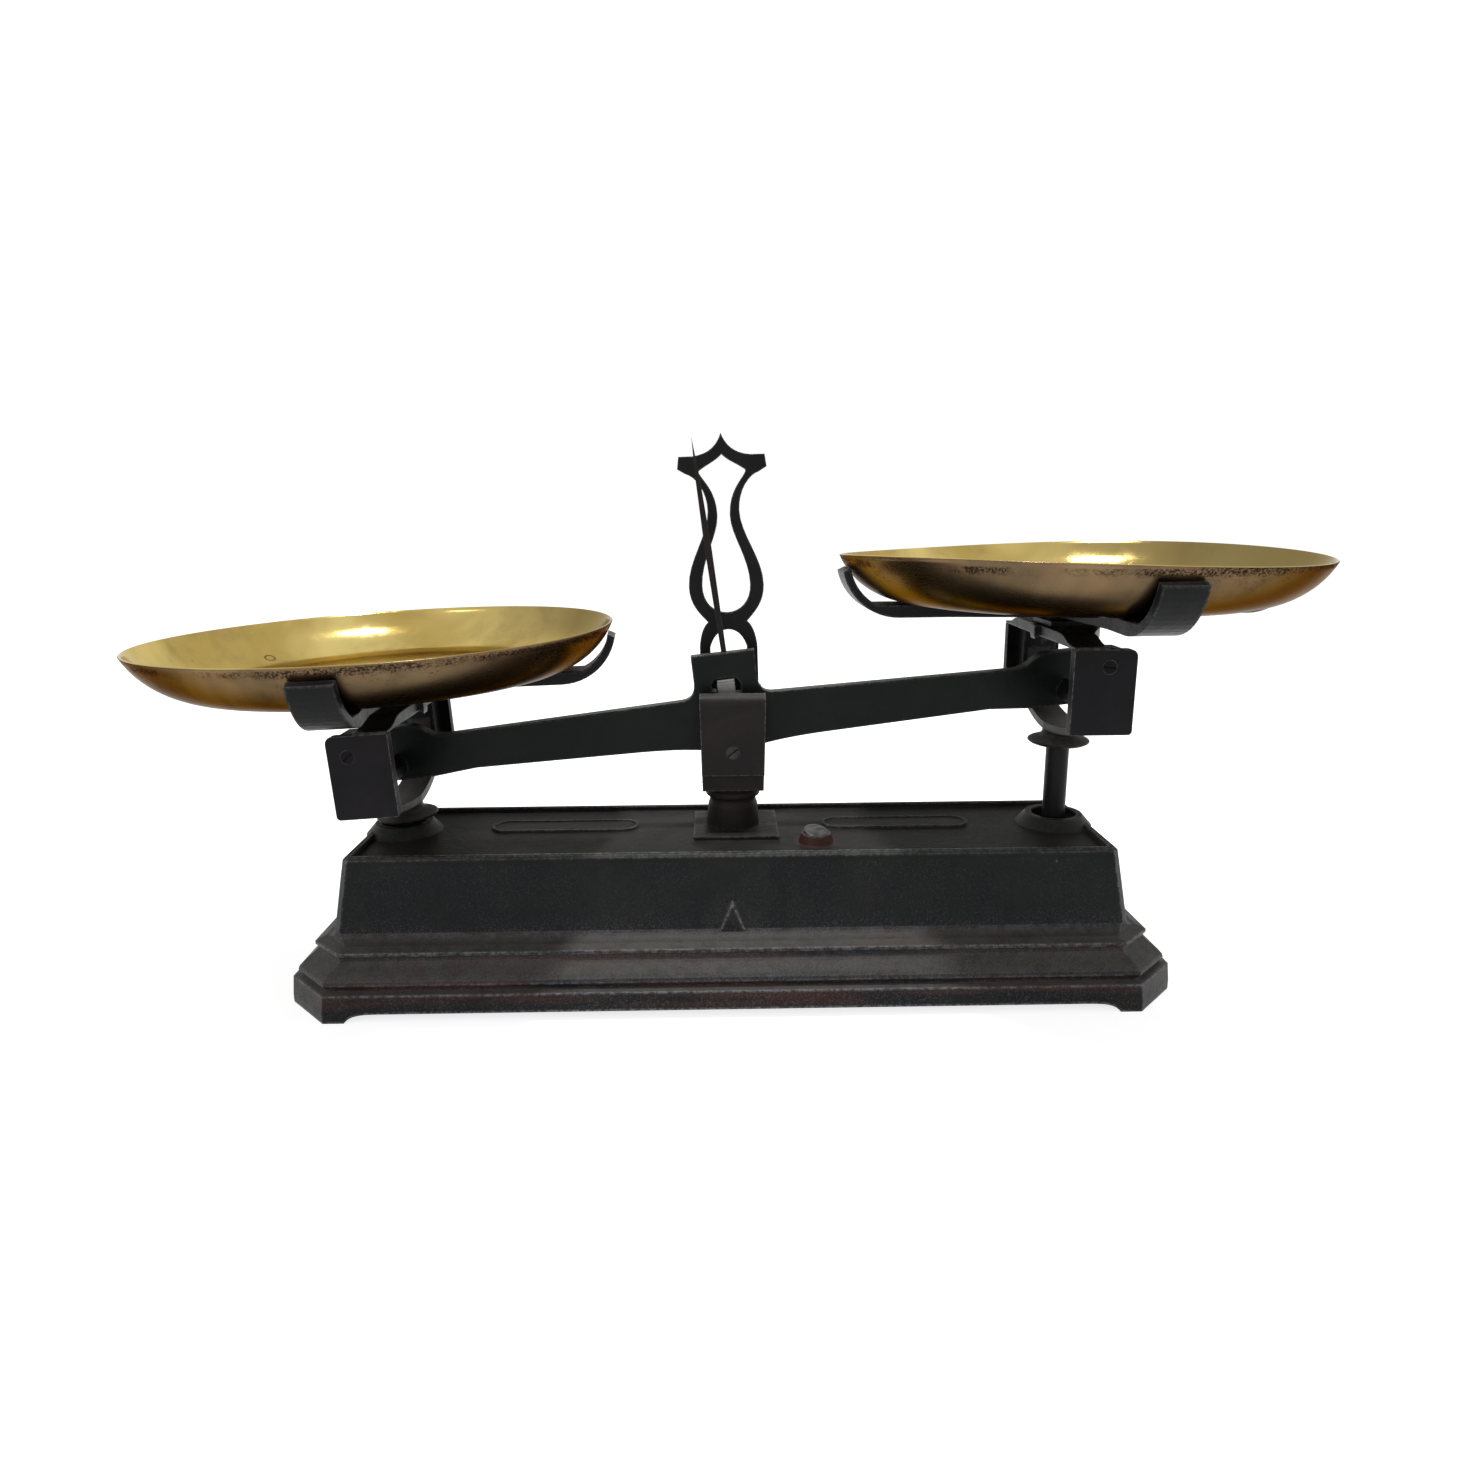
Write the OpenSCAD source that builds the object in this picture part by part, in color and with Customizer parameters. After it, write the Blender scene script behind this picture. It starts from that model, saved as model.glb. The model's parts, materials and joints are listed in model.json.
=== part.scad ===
// Roberval counter balance: cast base, knife-edge beam, two upright carriers and two brass pans.
// Millimetres, +Z up, front towards -Y, origin on the table under the middle of the column.
// The beam rests with its left end down, as it stands when both pans are empty.

/* [Base] */
// How far the tray reaches past each end knife edge of the level beam
tray_end = 15.4; // [14:0.2:30]
// Depth of the tray, outside its rim
tray_depth = 84.6; // [76:0.2:100]
// Height of the rim above the table
base_height = 73.4; // [71:0.2:80]
// Distance of the tray's middle line in front of the column's
base_forward = 8.8; // [4:0.2:11]
// Width of the tray's rim
rim_width = 4; // [2.5:0.5:6]
// Depth of the tray below its rim
tray_sink = 2.6; // [1:0.1:4]
// Thickness of the tray's floor
floor_thickness = 4; // [3:0.5:6]
// Thickness of the base's side walls
base_wall = 4.5; // [3.5:0.5:6]
// How far the foot of the base stands out past the rim
base_flare = 27.9; // [25.4:0.1:34]
// Cut of the base's corners at the foot, along each side
corner_cut = 22.8; // [18:0.2:28]
// Height of the plinth band at the foot
band_height = 13.7; // [12.5:0.1:14.5]
// Gap under the band between the feet
foot_height = 4.5; // [3:0.5:7]
// Length of a foot along the front, from the end of the base
foot_length = 33; // [28:1:50]

/* [Tray fittings] */
// Side of the square pad under the column
pad_side = 45; // [38:1:52]
// Height of the square pad
pad_height = 2.2; // [1.6:0.2:5]
// Height of the stem bosses above the tray floor
boss_height = 5.7; // [4:0.1:8]
// Radius of a stem boss at its top
boss_top_r = 15; // [14:0.5:17]
// Radius of a stem boss at the tray floor
boss_foot_r = 20; // [18:0.5:22]
// Radius of the hole a stem passes through
stem_hole_r = 11.8; // [11:0.1:13]
// Length of a blank label plate
label_length = 80; // [60:1:90]
// Width of a blank label plate
label_width = 18; // [12:1:20]
// Height of a label plate above the tray floor
label_height = 1.2; // [0.6:0.1:2]
// Distance from the column to the middle of a label
label_place = 90; // [80:1:95]
// Radius of the seal cup at its foot
seal_cup_r = 9.2; // [8:0.1:11]
// Height of the seal cup
seal_cup_height = 5; // [3:0.5:6]
// Radius of the lead seal
seal_r = 6.4; // [5:0.1:6.8]
// Slope of the lead seal's worn top
seal_slope = 14; // [5:1:16]

/* [Column] */
// Height of the central knife edge above the table
pivot_height = 133; // [132:0.5:138]
// Distance of the column's middle to the right of the knife edge
column_place = 1.4; // [0:0.1:2]
// Width of the column's head
head_width = 34.2; // [30:0.2:40]
// Depth of the column's head
head_depth = 34; // [32:1:40]
// Height of the column's head above the knife edge
head_rise = 11; // [10:0.2:14]
// Length of the head, top to flare
head_length = 48.4; // [44:0.2:50]
// Width of the slot the beam swings in
beam_slot = 16; // [13:0.5:18]
// Radius of the column's round foot
column_foot_r = 14; // [13:0.1:16]
// Radius of the column's neck
neck_r = 12.4; // [11:0.1:13]
// Radius of the stud that holds the column down
stud_r = 5; // [4:0.5:6]
// Width across the flats of the stud's nut
nut_flats = 17; // [15:1:20]
// Width of the front cover at its foot
cover_foot_width = 32.6; // [28:0.2:34]
// Thickness of the front cover
cover_thickness = 2.2; // [1.5:0.1:3]
// Height of the covers, lip left out
cover_height = 35.6; // [30:0.2:40]
// Bend radius of the front cover's lip
lip_r = 4; // [3:0.5:5]

/* [Beam] */
// Distance from the central knife edge to an end knife edge
arm_length = 177.6; // [165:0.2:195]
// Tilt of the beam at rest, left end down
rest_tilt = 6; // [4:0.1:6]
// Thickness of the beam
beam_thickness = 7; // [5:0.5:9]
// Height of an arm beside the column
arm_root_height = 24.6; // [20:0.2:28]
// How far the arms grow downwards beside the column
root_bulge = 2.6; // [0:0.2:4]
// Height of an arm before its end
arm_end_height = 20; // [17:0.2:24]
// Drop of the arms' middle line below the knife edges
arm_drop = 2; // [0:0.2:4]
// Width of the beam's central block
block_width = 33.4; // [30:0.2:36]
// Height of the central block above the knife edge
block_rise = 33.6; // [26:0.2:38]
// Width of the window above the central knife
window_width = 15.2; // [12:0.2:18]
// Height of the window above the knife edge
window_rise = 20.4; // [17:0.2:24]
// Height of a beam end above its knife edge
end_rise = 14.4; // [12:0.2:16]
// Depth of a beam end below its knife edge
end_drop = 14.4; // [12:0.2:16]
// Length of a beam end past its knife edge
end_reach = 12; // [9:0.5:14]

/* [Knives] */
// Width of the central knife
centre_knife_width = 9.2; // [7:0.2:11]
// Height of the central knife
centre_knife_height = 18; // [15:0.2:20]
// Length of the central knife's edge
centre_knife_length = 31; // [28:0.5:33]
// Width of an end knife
end_knife_width = 8; // [6:0.2:9]
// Height of an end knife
end_knife_height = 10; // [8:0.2:12]
// Height of a bearing block
bearing_height = 12; // [10:0.2:14]

/* [Pointer and index] */
// Length of the pointer above the beam
pointer_length = 109.4; // [90:0.2:110]
// Greatest width of the pointer, halfway up
pointer_width = 3.6; // [2.6:0.1:5]
// Thickness of the pointer
pointer_thickness = 1.5; // [1:0.1:2.5]
// Lean of the pointer against the beam's square, to the left
pointer_lean = 2; // [0:0.1:3]
// Lean of the index frame, to the left
index_lean = 1.7; // [0:0.1:3]
// Height of the index frame's tip above the table
index_top = 278.2; // [274:0.2:296]
// Thickness of the index frame
index_thickness = 3; // [2:0.5:4]
// Width of the frame across its horns
horn_width = 46.6; // [40:0.2:52]
// Width of the frame at its waist
waist_width = 16.6; // [15:0.2:20]
// Width of the frame at its belly
belly_width = 40; // [36:0.2:46]
// Width of the band the frame is cut from
index_band = 7.2; // [5:0.1:9]

/* [Carriers] */
// Lean of the worn left carrier, to the left
left_lean = 3.4; // [0:0.1:3.6]
// Lean of the left cross and its pan, to the left
left_pan_lean = 1.8; // [0:0.1:3]
// Width of a side plate
plate_width = 30; // [26:0.5:34]
// Height of a side plate
plate_height = 41.4; // [38:0.2:44]
// Thickness of a side plate
plate_thickness = 5; // [3.5:0.5:6]
// Distance between the outer faces of a carrier's two side plates
plate_spread = 112; // [104:1:120]
// Height of a side plate's top above the end knife edge
plate_rise = 22.4; // [20:0.1:24]
// Thickness of the bridge over the beam end
bridge_thickness = 5.5; // [4:0.5:7]
// Thickness of the stirrup's bow
bow_thickness = 4; // [3:0.5:6]
// Place of the bow between the beam's end, at 0, and the collar, at 1
bow_place = 0.76; // [0.6:0.02:1]
// Width of the bow in the middle
bow_width = 17.6; // [14:0.2:22]
// Width of the bow at the side plates
bow_end_width = 15; // [12:0.2:20]
// Radius of the collar under the bow
collar_r = 16.7; // [14:0.1:19]
// Thickness of the collar
collar_thickness = 5.6; // [4:0.2:8]
// Radius of a stem
stem_r = 6; // [5:0.1:6.5]

/* [Cross] */
// Turn of the left cross on its bridge, seen from above
left_cross_turn = 3.9; // [0:0.1:4]
// Turn of the right cross on its bridge, seen from above
right_cross_turn = 2.1; // [0:0.1:4]
// Width of an arm of the cross
cross_arm_width = 13; // [10:0.5:16]
// Thickness of an arm under the pan
cross_arm_thickness = 6.5; // [4:0.1:8]
// Width of a finger where it starts to rise
finger_width = 20.4; // [16:0.2:24]
// Width of a finger at its tip
finger_tip_width = 19.6; // [14:0.2:20]
// Thickness of a finger
finger_thickness = 4; // [3:0.1:5]
// Outer radius of a finger's bend
finger_bend_r = 29.5; // [27:0.5:31]
// Steepness of a finger at its tip
finger_angle = 79; // [70:1:80]

/* [Pans] */
// Diameter of a pan at its rim
pan_diameter = 237; // [220:1:250]
// Depth of a pan outside
pan_depth = 24.2; // [20:0.2:30]
// Radius of the pan's curved wall
pan_bend_r = 40.5; // [38:0.5:44]
// Thickness of the pan's sheet
pan_sheet = 1.2; // [0.8:0.1:1.6]
// Height of a pan's underside above the end knife edge
pan_rise = 40.3; // [39:0.1:44]

/* [Stay under the tray] */
// Height of the stay's pivot above the table
stay_pivot = 32; // [30:0.5:35]
// Height of the stay at its pivot
stay_height = 12; // [9:0.5:14]
// Thickness of the stay
stay_thickness = 10; // [8:0.5:12]
// Radius of the stay's pivot pin
stay_pin_r = 4; // [3:0.5:5]
// Radius of the pins at the stay's ends
end_pin_r = 2.5; // [2:0.1:3]

/* [Fits] */
// Gap between a knife edge and its bearing
edge_gap = 0.05; // [0.02:0.01:0.1]
// Radial gap of a running pin
pin_gap = 0.05; // [0.02:0.01:0.1]
// Radial gap where a stem foot hangs loosely on its pin
loose_gap = 1.6; // [1.5:0.1:1.8]
// Gap between parts that only rest on each other
seat_gap = 0.3; // [0.2:0.05:0.4]

/* [Hidden] */
$fn = 64;

left = -1;
right = 1;
past = 1;

iron = "#26282a";
dusty_iron = "#4b4d49";
steel = "#8d8f90";
lead = "#7d7c78";
brass = "#b78a43";

tray_length = 2 * (arm_length + tray_end);

// Heights worked out from the table up
tray_floor = base_height - tray_sink;
tray_underside = tray_floor - floor_thickness;
pad_top = tray_floor + pad_height;
boss_top = tray_floor + boss_height;
head_top = pivot_height + head_rise;
head_foot = head_top - head_length;
stay_drop = pivot_height - stay_pivot;

// Places of the end knife edges at rest
end_reach_x = arm_length * cos(rest_tilt);
end_lift = arm_length * sin(rest_tilt);
function knife_height(side) = pivot_height + side * end_lift;
function carrier_lean(side) = side == left ? left_lean : 0;
function pan_lean(side) = side == left ? left_pan_lean : 0;
function cross_turn(side) = side == left ? -left_cross_turn : right_cross_turn;

// Outline of the base, from the table up: offset past the rim, corner cut, height
band_shrink = 0.7;
bead_offset = base_flare - 11.5;
lip_offset = base_flare - 3.7;
wall_foot_offset = 5;
rim_round = 1.3;
rim_corner = 3;
lip_height = band_height + 3.7;
bead_height = band_height + 16.2;
cove_foot = bead_height + 2.4;
cove_top = cove_foot + 5.2;
moulding_steps = 6;
function ease(t) = (1 - cos(180 * t)) / 2;
function ogee(t) = [lip_offset - (lip_offset - bead_offset + 1.2) * ease(t), corner_cut - 3.4 - 3 * t,
    lip_height + (bead_height - 1.8 - lip_height) * t];
function cove(t) = [wall_foot_offset + (bead_offset - 4.6 - wall_foot_offset) * (1 - sin(90 * t)),
    rim_corner + (corner_cut - 8 - rim_corner) * (1 - sin(90 * t)),
    cove_top - (cove_top - cove_foot) * cos(90 * t)];
base_outline = concat(
    [[base_flare, corner_cut, 0],
     [base_flare, corner_cut, foot_height],
     [base_flare - band_shrink, corner_cut, band_height],
     [lip_offset - 1, corner_cut - 3, band_height + 0.8],
     [lip_offset - 1, corner_cut - 3, band_height + 2]],
    [for (i = [0:moulding_steps]) ogee(i / moulding_steps)],
    [[bead_offset, corner_cut - 6.6, bead_height - 1],
     [bead_offset, corner_cut - 6.6, bead_height + 0.6],
     [bead_offset - 1.8, corner_cut - 7.2, bead_height + 1.2]],
    [for (i = [0:moulding_steps]) cove(i / moulding_steps)],
    [[0, rim_corner, base_height - rim_round],
     [-rim_round, rim_corner, base_height]]);
base_hollow = [[base_flare - base_wall, corner_cut, -past],
    [base_flare - base_wall - 3, corner_cut - 2, band_height],
    [bead_offset - base_wall - 3, corner_cut - 8, bead_height - 3],
    [wall_foot_offset - base_wall - 1.5, rim_corner, cove_top],
    [-base_wall, rim_corner, tray_underside]];

// Corners of a rectangle with cut corners, round the axis
function ring(step, length, depth) =
    let (x = length / 2 + step[0], y = depth / 2 + step[0], cut = step[1], z = step[2])
    [[x, cut - y, z], [x, y - cut, z], [x - cut, y, z], [cut - x, y, z],
     [-x, y - cut, z], [-x, cut - y, z], [cut - x, -y, z], [x - cut, -y, z]];

// Solid through a stack of such rings
module ringed_solid(steps, length, depth) {
    sides = 8;
    last = len(steps) - 1;
    points = [for (step = steps) each ring(step, length, depth)];
    walls = [for (i = [0:last - 1], j = [0:sides - 1])
        let (next = (j + 1) % sides)
        [i * sides + j, (i + 1) * sides + j, (i + 1) * sides + next, i * sides + next]];
    floor_face = [for (j = [0:sides - 1]) j];
    top_face = [for (j = [sides - 1:-1:0]) last * sides + j];
    polyhedron(points, concat([floor_face], walls, [top_face]), convexity = 8);
}

// Curve between two points, drawn towards two others
function bezier(a, b, c, d, steps = 8) = [for (i = [0:steps])
    let (t = i / steps, u = 1 - t)
    u * u * u * a + 3 * u * u * t * b + 3 * u * t * t * c + t * t * t * d];
function arc(centre, r, from, to, steps = 12) = [for (i = [0:steps])
    let (angle = from + (to - from) * i / steps) centre + r * [cos(angle), sin(angle)]];
function flip(points) = [for (i = [len(points) - 1:-1:0]) [-points[i][0], points[i][1]]];

// Turns a flat outline in X and Z into a slab of some depth along Y, from its middle
module slab(depth) {
    rotate([90, 0, 0])
        linear_extrude(depth, center = true, convexity = 6)
            children();
}

// Turns a flat outline in Y and Z into a slab of some width along X, from its middle
module side_slab(width) {
    rotate([90, 0, 90])
        linear_extrude(width, center = true, convexity = 6)
            children();
}

module stadium(length, width) {
    square([length - width, width], center = true);
    for (side = [left, right])
        translate([side * (length - width) / 2, 0])
            circle(width / 2);
}

// Cylinder along Y, centred
module y_rod(r, length) {
    rotate([90, 0, 0])
        cylinder(length, r = r, center = true);
}

// Slotted screw along -Y: flush head at the origin, shank behind it
screw_head_r = 3.3;
screw_head_height = 2.2;
screw_shank_r = 1.9;
screw_slot_width = 0.9;
module flush_screw(length, slot_angle) {
    difference() {
        rotate([-90, 0, 0]) {
            cylinder(screw_head_height, screw_head_r, screw_shank_r);
            cylinder(length, r = screw_shank_r);
        }
        rotate([0, slot_angle, 0])
            cube([2 * screw_head_r + past, 2 * screw_slot_width, screw_slot_width], center = true);
    }
}
module flush_screw_hole(length) {
    rotate([-90, 0, 0]) {
        cylinder(screw_head_height, screw_head_r, screw_shank_r);
        translate([0, 0, -past])
            cylinder(length + past, r = screw_shank_r);
    }
}

// Base and what is cast on it
foot_rise_length = 17;
side_foot_length = 30;
seal_x = 44;
seal_y = -26.5;
lug_width = 14.6;
lug_rise = 17.6;
lug_depth = 4;
lug_foot = cove_foot + 0.6;
label_border = 1.6;
label_sink = 0.5;
pad_place = [2.8, -1.5];
label_y = 2;

module foot_gap(half_length) {
    rise = bezier([half_length, 0], [half_length - 3, foot_height * 0.9],
        [half_length - 8, foot_height], [half_length - foot_rise_length, foot_height]);
    polygon(concat([[-half_length, -past], [half_length, -past]], rise, flip(rise)));
}

module stem_boss() {
    translate([0, 0, tray_floor - past])
        cylinder(past, r = boss_foot_r);
    translate([0, 0, tray_floor])
        cylinder(boss_height, boss_foot_r, boss_top_r);
}

module label_plate() {
    linear_extrude(label_height - label_sink)
        stadium(label_length, label_width);
    linear_extrude(label_height)
        difference() {
            stadium(label_length, label_width);
            stadium(label_length - 2 * label_border, label_width - 2 * label_border);
        }
}

module front_lug() {
    wall_y = base_forward + tray_depth / 2 + wall_foot_offset;
    translate([0, -wall_y + lug_depth / 4, lug_foot])
        slab(lug_depth)
            polygon([[-lug_width / 2, 0], [lug_width / 2, 0], [0, lug_rise]]);
}

module tray_and_skirt() {
    difference() {
        ringed_solid(base_outline, tray_length, tray_depth);
        ringed_solid(base_hollow, tray_length, tray_depth);
        translate([0, 0, tray_floor + tray_sink])
            cube([tray_length - 2 * rim_width, tray_depth - 2 * rim_width, 2 * tray_sink], center = true);
        slab(2 * tray_depth + 4 * base_flare)
            foot_gap(tray_length / 2 + base_flare - foot_length);
        side_slab(tray_length + 4 * base_flare)
            foot_gap(tray_depth / 2 + base_flare - corner_cut - side_foot_length / 2);
    }
}

module base_casting() {
    color(iron)
        difference() {
            union() {
                translate([0, -base_forward, 0])
                    tray_and_skirt();
                for (side = [left, right])
                    translate([side * end_reach_x, 0, 0])
                        stem_boss();
                translate([pad_place[0], pad_place[1], tray_floor + pad_height / 2])
                    cube([pad_side, pad_side, pad_height], center = true);
                for (side = [left, right])
                    translate([side * label_place, label_y, tray_floor])
                        label_plate();
                translate([seal_x, seal_y, tray_floor])
                    cylinder(seal_cup_height, seal_cup_r, seal_r + 1.2);
                front_lug();
            }
            for (side = [left, right])
                translate([side * end_reach_x, 0, tray_underside - past])
                    cylinder(boss_top - tray_underside + 2 * past, r = stem_hole_r);
            translate([column_place, 0, tray_underside - past])
                cylinder(pad_top - tray_underside + 2 * past, r = stud_r + seat_gap);
            translate([seal_x, seal_y, tray_floor + past])
                cylinder(seal_cup_height, r = seal_r);
        }
}

module seal_plug() {
    top = tray_floor + seal_cup_height + 2;
    color(lead)
        difference() {
            translate([seal_x, seal_y, tray_floor + past])
                cylinder(top - tray_floor + 2, r = seal_r);
            translate([seal_x, seal_y, top])
                rotate([seal_slope, -seal_slope / 2, 0])
                    translate([0, 0, 2 * seal_r])
                        cube(4 * seal_r, center = true);
        }
}

// Column with its forked head
bearing_width = 13.6;
bearing_seat = pivot_height + 2 - bearing_height;
lip_bend = [-head_depth / 2 + lip_r, head_top - lip_r + 1];
slot_foot = pivot_height - arm_root_height / 2 - arm_drop - root_bulge - 8;
stud_engagement = 22;
neck_drop = 7.4;
collar_bead_r = 14.6;
head_foot_width = 32;

module column_turning() {
    neck = head_foot - neck_drop;
    rotate_extrude()
        polygon(concat(
            [[0, pad_top], [column_foot_r, pad_top], [column_foot_r, pad_top + 1.5],
             [column_foot_r - 0.8, neck - 3.6], [neck_r, neck - 1.4]],
            bezier([neck_r, neck], [neck_r + 0.2, neck + 1.4], [collar_bead_r, neck + 1],
                [collar_bead_r, neck + 3], 6),
            bezier([collar_bead_r, neck + 4.4], [collar_bead_r, neck + 5.6],
                [head_width / 2 - 1.6, neck + 5.4], [head_width / 2 - 0.6, head_foot + 0.4], 5),
            [[0, head_foot + 0.4]]));
}

module column_head() {
    intersection() {
        side_slab(head_width)
            polygon(concat(
                [[-head_depth / 2, head_foot], [head_depth / 2, head_foot], [head_depth / 2, head_top]],
                arc(lip_bend, lip_r - 0.1, 180 - asin((head_top - lip_bend[1]) / lip_r), 180)));
        slab(2 * head_depth)
            polygon([[-head_foot_width / 2, head_foot], [-head_width / 2, head_top - lip_r],
                [-head_width / 2, head_top + past], [head_width / 2, head_top + past],
                [head_width / 2, head_top - lip_r], [head_foot_width / 2, head_foot]]);
    }
}

module column() {
    color(iron)
        difference() {
            translate([column_place, 0, 0]) {
                column_turning();
                column_head();
            }
            translate([0, 0, (slot_foot + head_top) / 2 + past])
                cube([head_width + 2 * column_place + 2 * past, beam_slot, head_top - slot_foot + 2 * past],
                    center = true);
            translate([0, 0, (bearing_seat + head_top) / 2 + past])
                cube([bearing_width, head_depth + 2 * past, head_top - bearing_seat + 2 * past],
                    center = true);
            translate([column_place, 0, pad_top - past])
                cylinder(stud_engagement + past, r = stud_r);
            translate([column_place, 0, cover_screw_height])
                front_and_rear()
                    translate([0, -head_depth / 2, 0])
                        flush_screw_hole(cheek_screw_depth);
        }
}

stud_foot = tray_underside - 16;
bracket_plate = 3;
washer_thickness = 2;
nut_height = 8;
module column_stud() {
    color(steel)
        translate([column_place, 0, stud_foot])
            cylinder(pad_top + stud_engagement - stud_foot, r = stud_r);
}

washer_top = tray_underside - bracket_plate;
module column_washer() {
    color(steel)
        translate([column_place, 0, washer_top - washer_thickness])
            difference() {
                cylinder(washer_thickness, r = nut_flats / 2 + 3);
                translate([0, 0, -past])
                    cylinder(washer_thickness + 2 * past, r = stud_r + seat_gap);
            }
}

module column_nut() {
    color(steel)
        translate([column_place, 0, washer_top - washer_thickness - nut_height])
            difference() {
                cylinder(nut_height, r = nut_flats / sqrt(3), $fn = 6);
                translate([0, 0, -past])
                    cylinder(nut_height + 2 * past, r = stud_r);
            }
}

// Bearing block with a groove that opens upwards, its groove foot at the origin
groove_half_angle = 60;
module bearing_outline(width, height, above) {
    opening = (above + past) * tan(groove_half_angle);
    difference() {
        translate([-width / 2, above - height])
            square([width, height]);
        polygon([[0, 0], [opening, above + past], [-opening, above + past]]);
    }
}

module column_bearings() {
    length = (head_depth - beam_slot) / 2 - 2 * seat_gap;
    color(steel)
        for (side = [left, right])
            translate([0, side * (beam_slot / 2 + seat_gap + length / 2), pivot_height - edge_gap])
                slab(length)
                    bearing_outline(bearing_width, bearing_height, 2 + edge_gap);
}

// Covers of the column's head
cover_foot = head_top - cover_height - lip_r;
cover_screw_height = pivot_height - 16.2;
cheek_screw_depth = 7;
module front_cover() {
    outer = lip_r + cover_thickness;
    half_top = head_width / 2 - 0.1;
    color(iron)
        translate([column_place, 0, 0])
            difference() {
                intersection() {
                    side_slab(head_width)
                        polygon(concat(
                            [[-head_depth / 2, cover_foot], [-head_depth / 2, lip_bend[1]]],
                            arc(lip_bend, lip_r, 180, 100),
                            arc(lip_bend, outer, 100, 180),
                            [[-head_depth / 2 - cover_thickness, cover_foot]]));
                    slab(2 * head_depth)
                        polygon([[-cover_foot_width / 2, cover_foot], [-half_top, head_top - lip_r],
                            [-half_top, head_top + 2 * lip_r], [half_top, head_top + 2 * lip_r],
                            [half_top, head_top - lip_r], [cover_foot_width / 2, cover_foot]]);
                }
                translate([0, -head_depth / 2 - cover_thickness, cover_screw_height])
                    flush_screw_hole(cover_thickness + past);
            }
}

module cover_screws() {
    color(steel) {
        translate([column_place, -head_depth / 2 - cover_thickness, cover_screw_height])
            flush_screw(cover_thickness + cheek_screw_depth, -38);
        translate([column_place, head_depth / 2 + index_thickness, cover_screw_height])
            rotate([0, 0, 180])
                flush_screw(index_thickness + cheek_screw_depth, 20);
    }
}

// Lyre-shaped index frame behind the pointer, half outlines from the top down
horn_top = index_top - 11.3;
horn_foot = horn_top - 6.3;
waist_height = index_top - 39.2;
belly_height = index_top - 78.4;
notch_height = index_top - 97.8;
leg_height = index_top - 111.4;
frame_foot = head_top + 2;
lean_height = frame_foot + 24;
leg_width = 31.2;
back_width = 34;
back_corner_r = 5;
notch_width = 20.8;
function half_lyre() = concat(
    bezier([0, index_top], [2, index_top - 5.7], [6, horn_top + 0.8], [horn_width / 2 - 8, horn_top]),
    [[horn_width / 2 - 0.9, horn_top], [horn_width / 2, horn_foot]],
    bezier([horn_width / 2 - 4, horn_foot - 2.4], [horn_width / 2 - 9.5, horn_foot - 4],
        [waist_width / 2, waist_height + 10], [waist_width / 2, waist_height]),
    bezier([waist_width / 2, waist_height], [waist_width / 2, waist_height - 12.5],
        [belly_width / 2, belly_height + 14], [belly_width / 2, belly_height]),
    bezier([belly_width / 2, belly_height], [belly_width / 2, belly_height - 10],
        [notch_width / 2 + 4, notch_height + 4.5], [notch_width / 2, notch_height]),
    bezier([notch_width / 2, notch_height], [notch_width / 2 + 2.4, notch_height - 1.5],
        [leg_width / 2 - 0.4, leg_height + 7], [leg_width / 2, leg_height]),
    [[leg_width / 2, frame_foot], [back_width / 2, frame_foot - 1]],
    arc([back_width / 2 - back_corner_r, head_foot + back_corner_r], back_corner_r, 0, -90, 6));
function half_opening() = concat(
    bezier([0, index_top - 10.7], [3, index_top - 14], [8, horn_top - 4.4],
        [horn_width / 2 - 11.2, horn_foot - 1.2]),
    bezier([horn_width / 2 - 11.2, horn_foot - 2.2], [horn_width / 2 - 13, horn_foot - 6],
        [waist_width / 2 - 5, waist_height + 10], [waist_width / 2 - 5, waist_height - 2]),
    bezier([waist_width / 2 - 5, waist_height - 3], [waist_width / 2 - 5, waist_height - 13],
        [belly_width / 2 - index_band, belly_height + 14], [belly_width / 2 - index_band, belly_height]),
    bezier([belly_width / 2 - index_band, belly_height], [belly_width / 2 - index_band, belly_height - 9],
        [7, notch_height + 5], [0, notch_height + 5]));
function half_arch() = concat(
    bezier([0, notch_height - 4], [5.5, notch_height - 4], [8.6, notch_height - 9],
        [leg_width / 2 - 5.7, leg_height]),
    [[leg_width / 2 - 5.7, frame_foot + 6]]);

module index_frame() {
    color(iron)
        translate([0, (head_depth + index_thickness) / 2, 0])
            difference() {
                translate([0, 0, lean_height])
                    rotate([0, -index_lean, 0])
                        translate([0, 0, -lean_height])
                            slab(index_thickness)
                                difference() {
                                    polygon(concat(half_lyre(), flip(half_lyre())));
                                    polygon(concat(half_opening(), flip(half_opening())));
                                    polygon(concat(half_arch(), flip(half_arch())));
                                }
                translate([column_place, index_thickness / 2, cover_screw_height])
                    rotate([0, 0, 180])
                        flush_screw_hole(index_thickness + past);
            }
}

// Everything that turns with the beam is drawn with the central knife edge at the origin
module on_beam() {
    translate([0, 0, pivot_height])
        rotate([0, -rest_tilt, 0])
            children();
}

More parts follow.
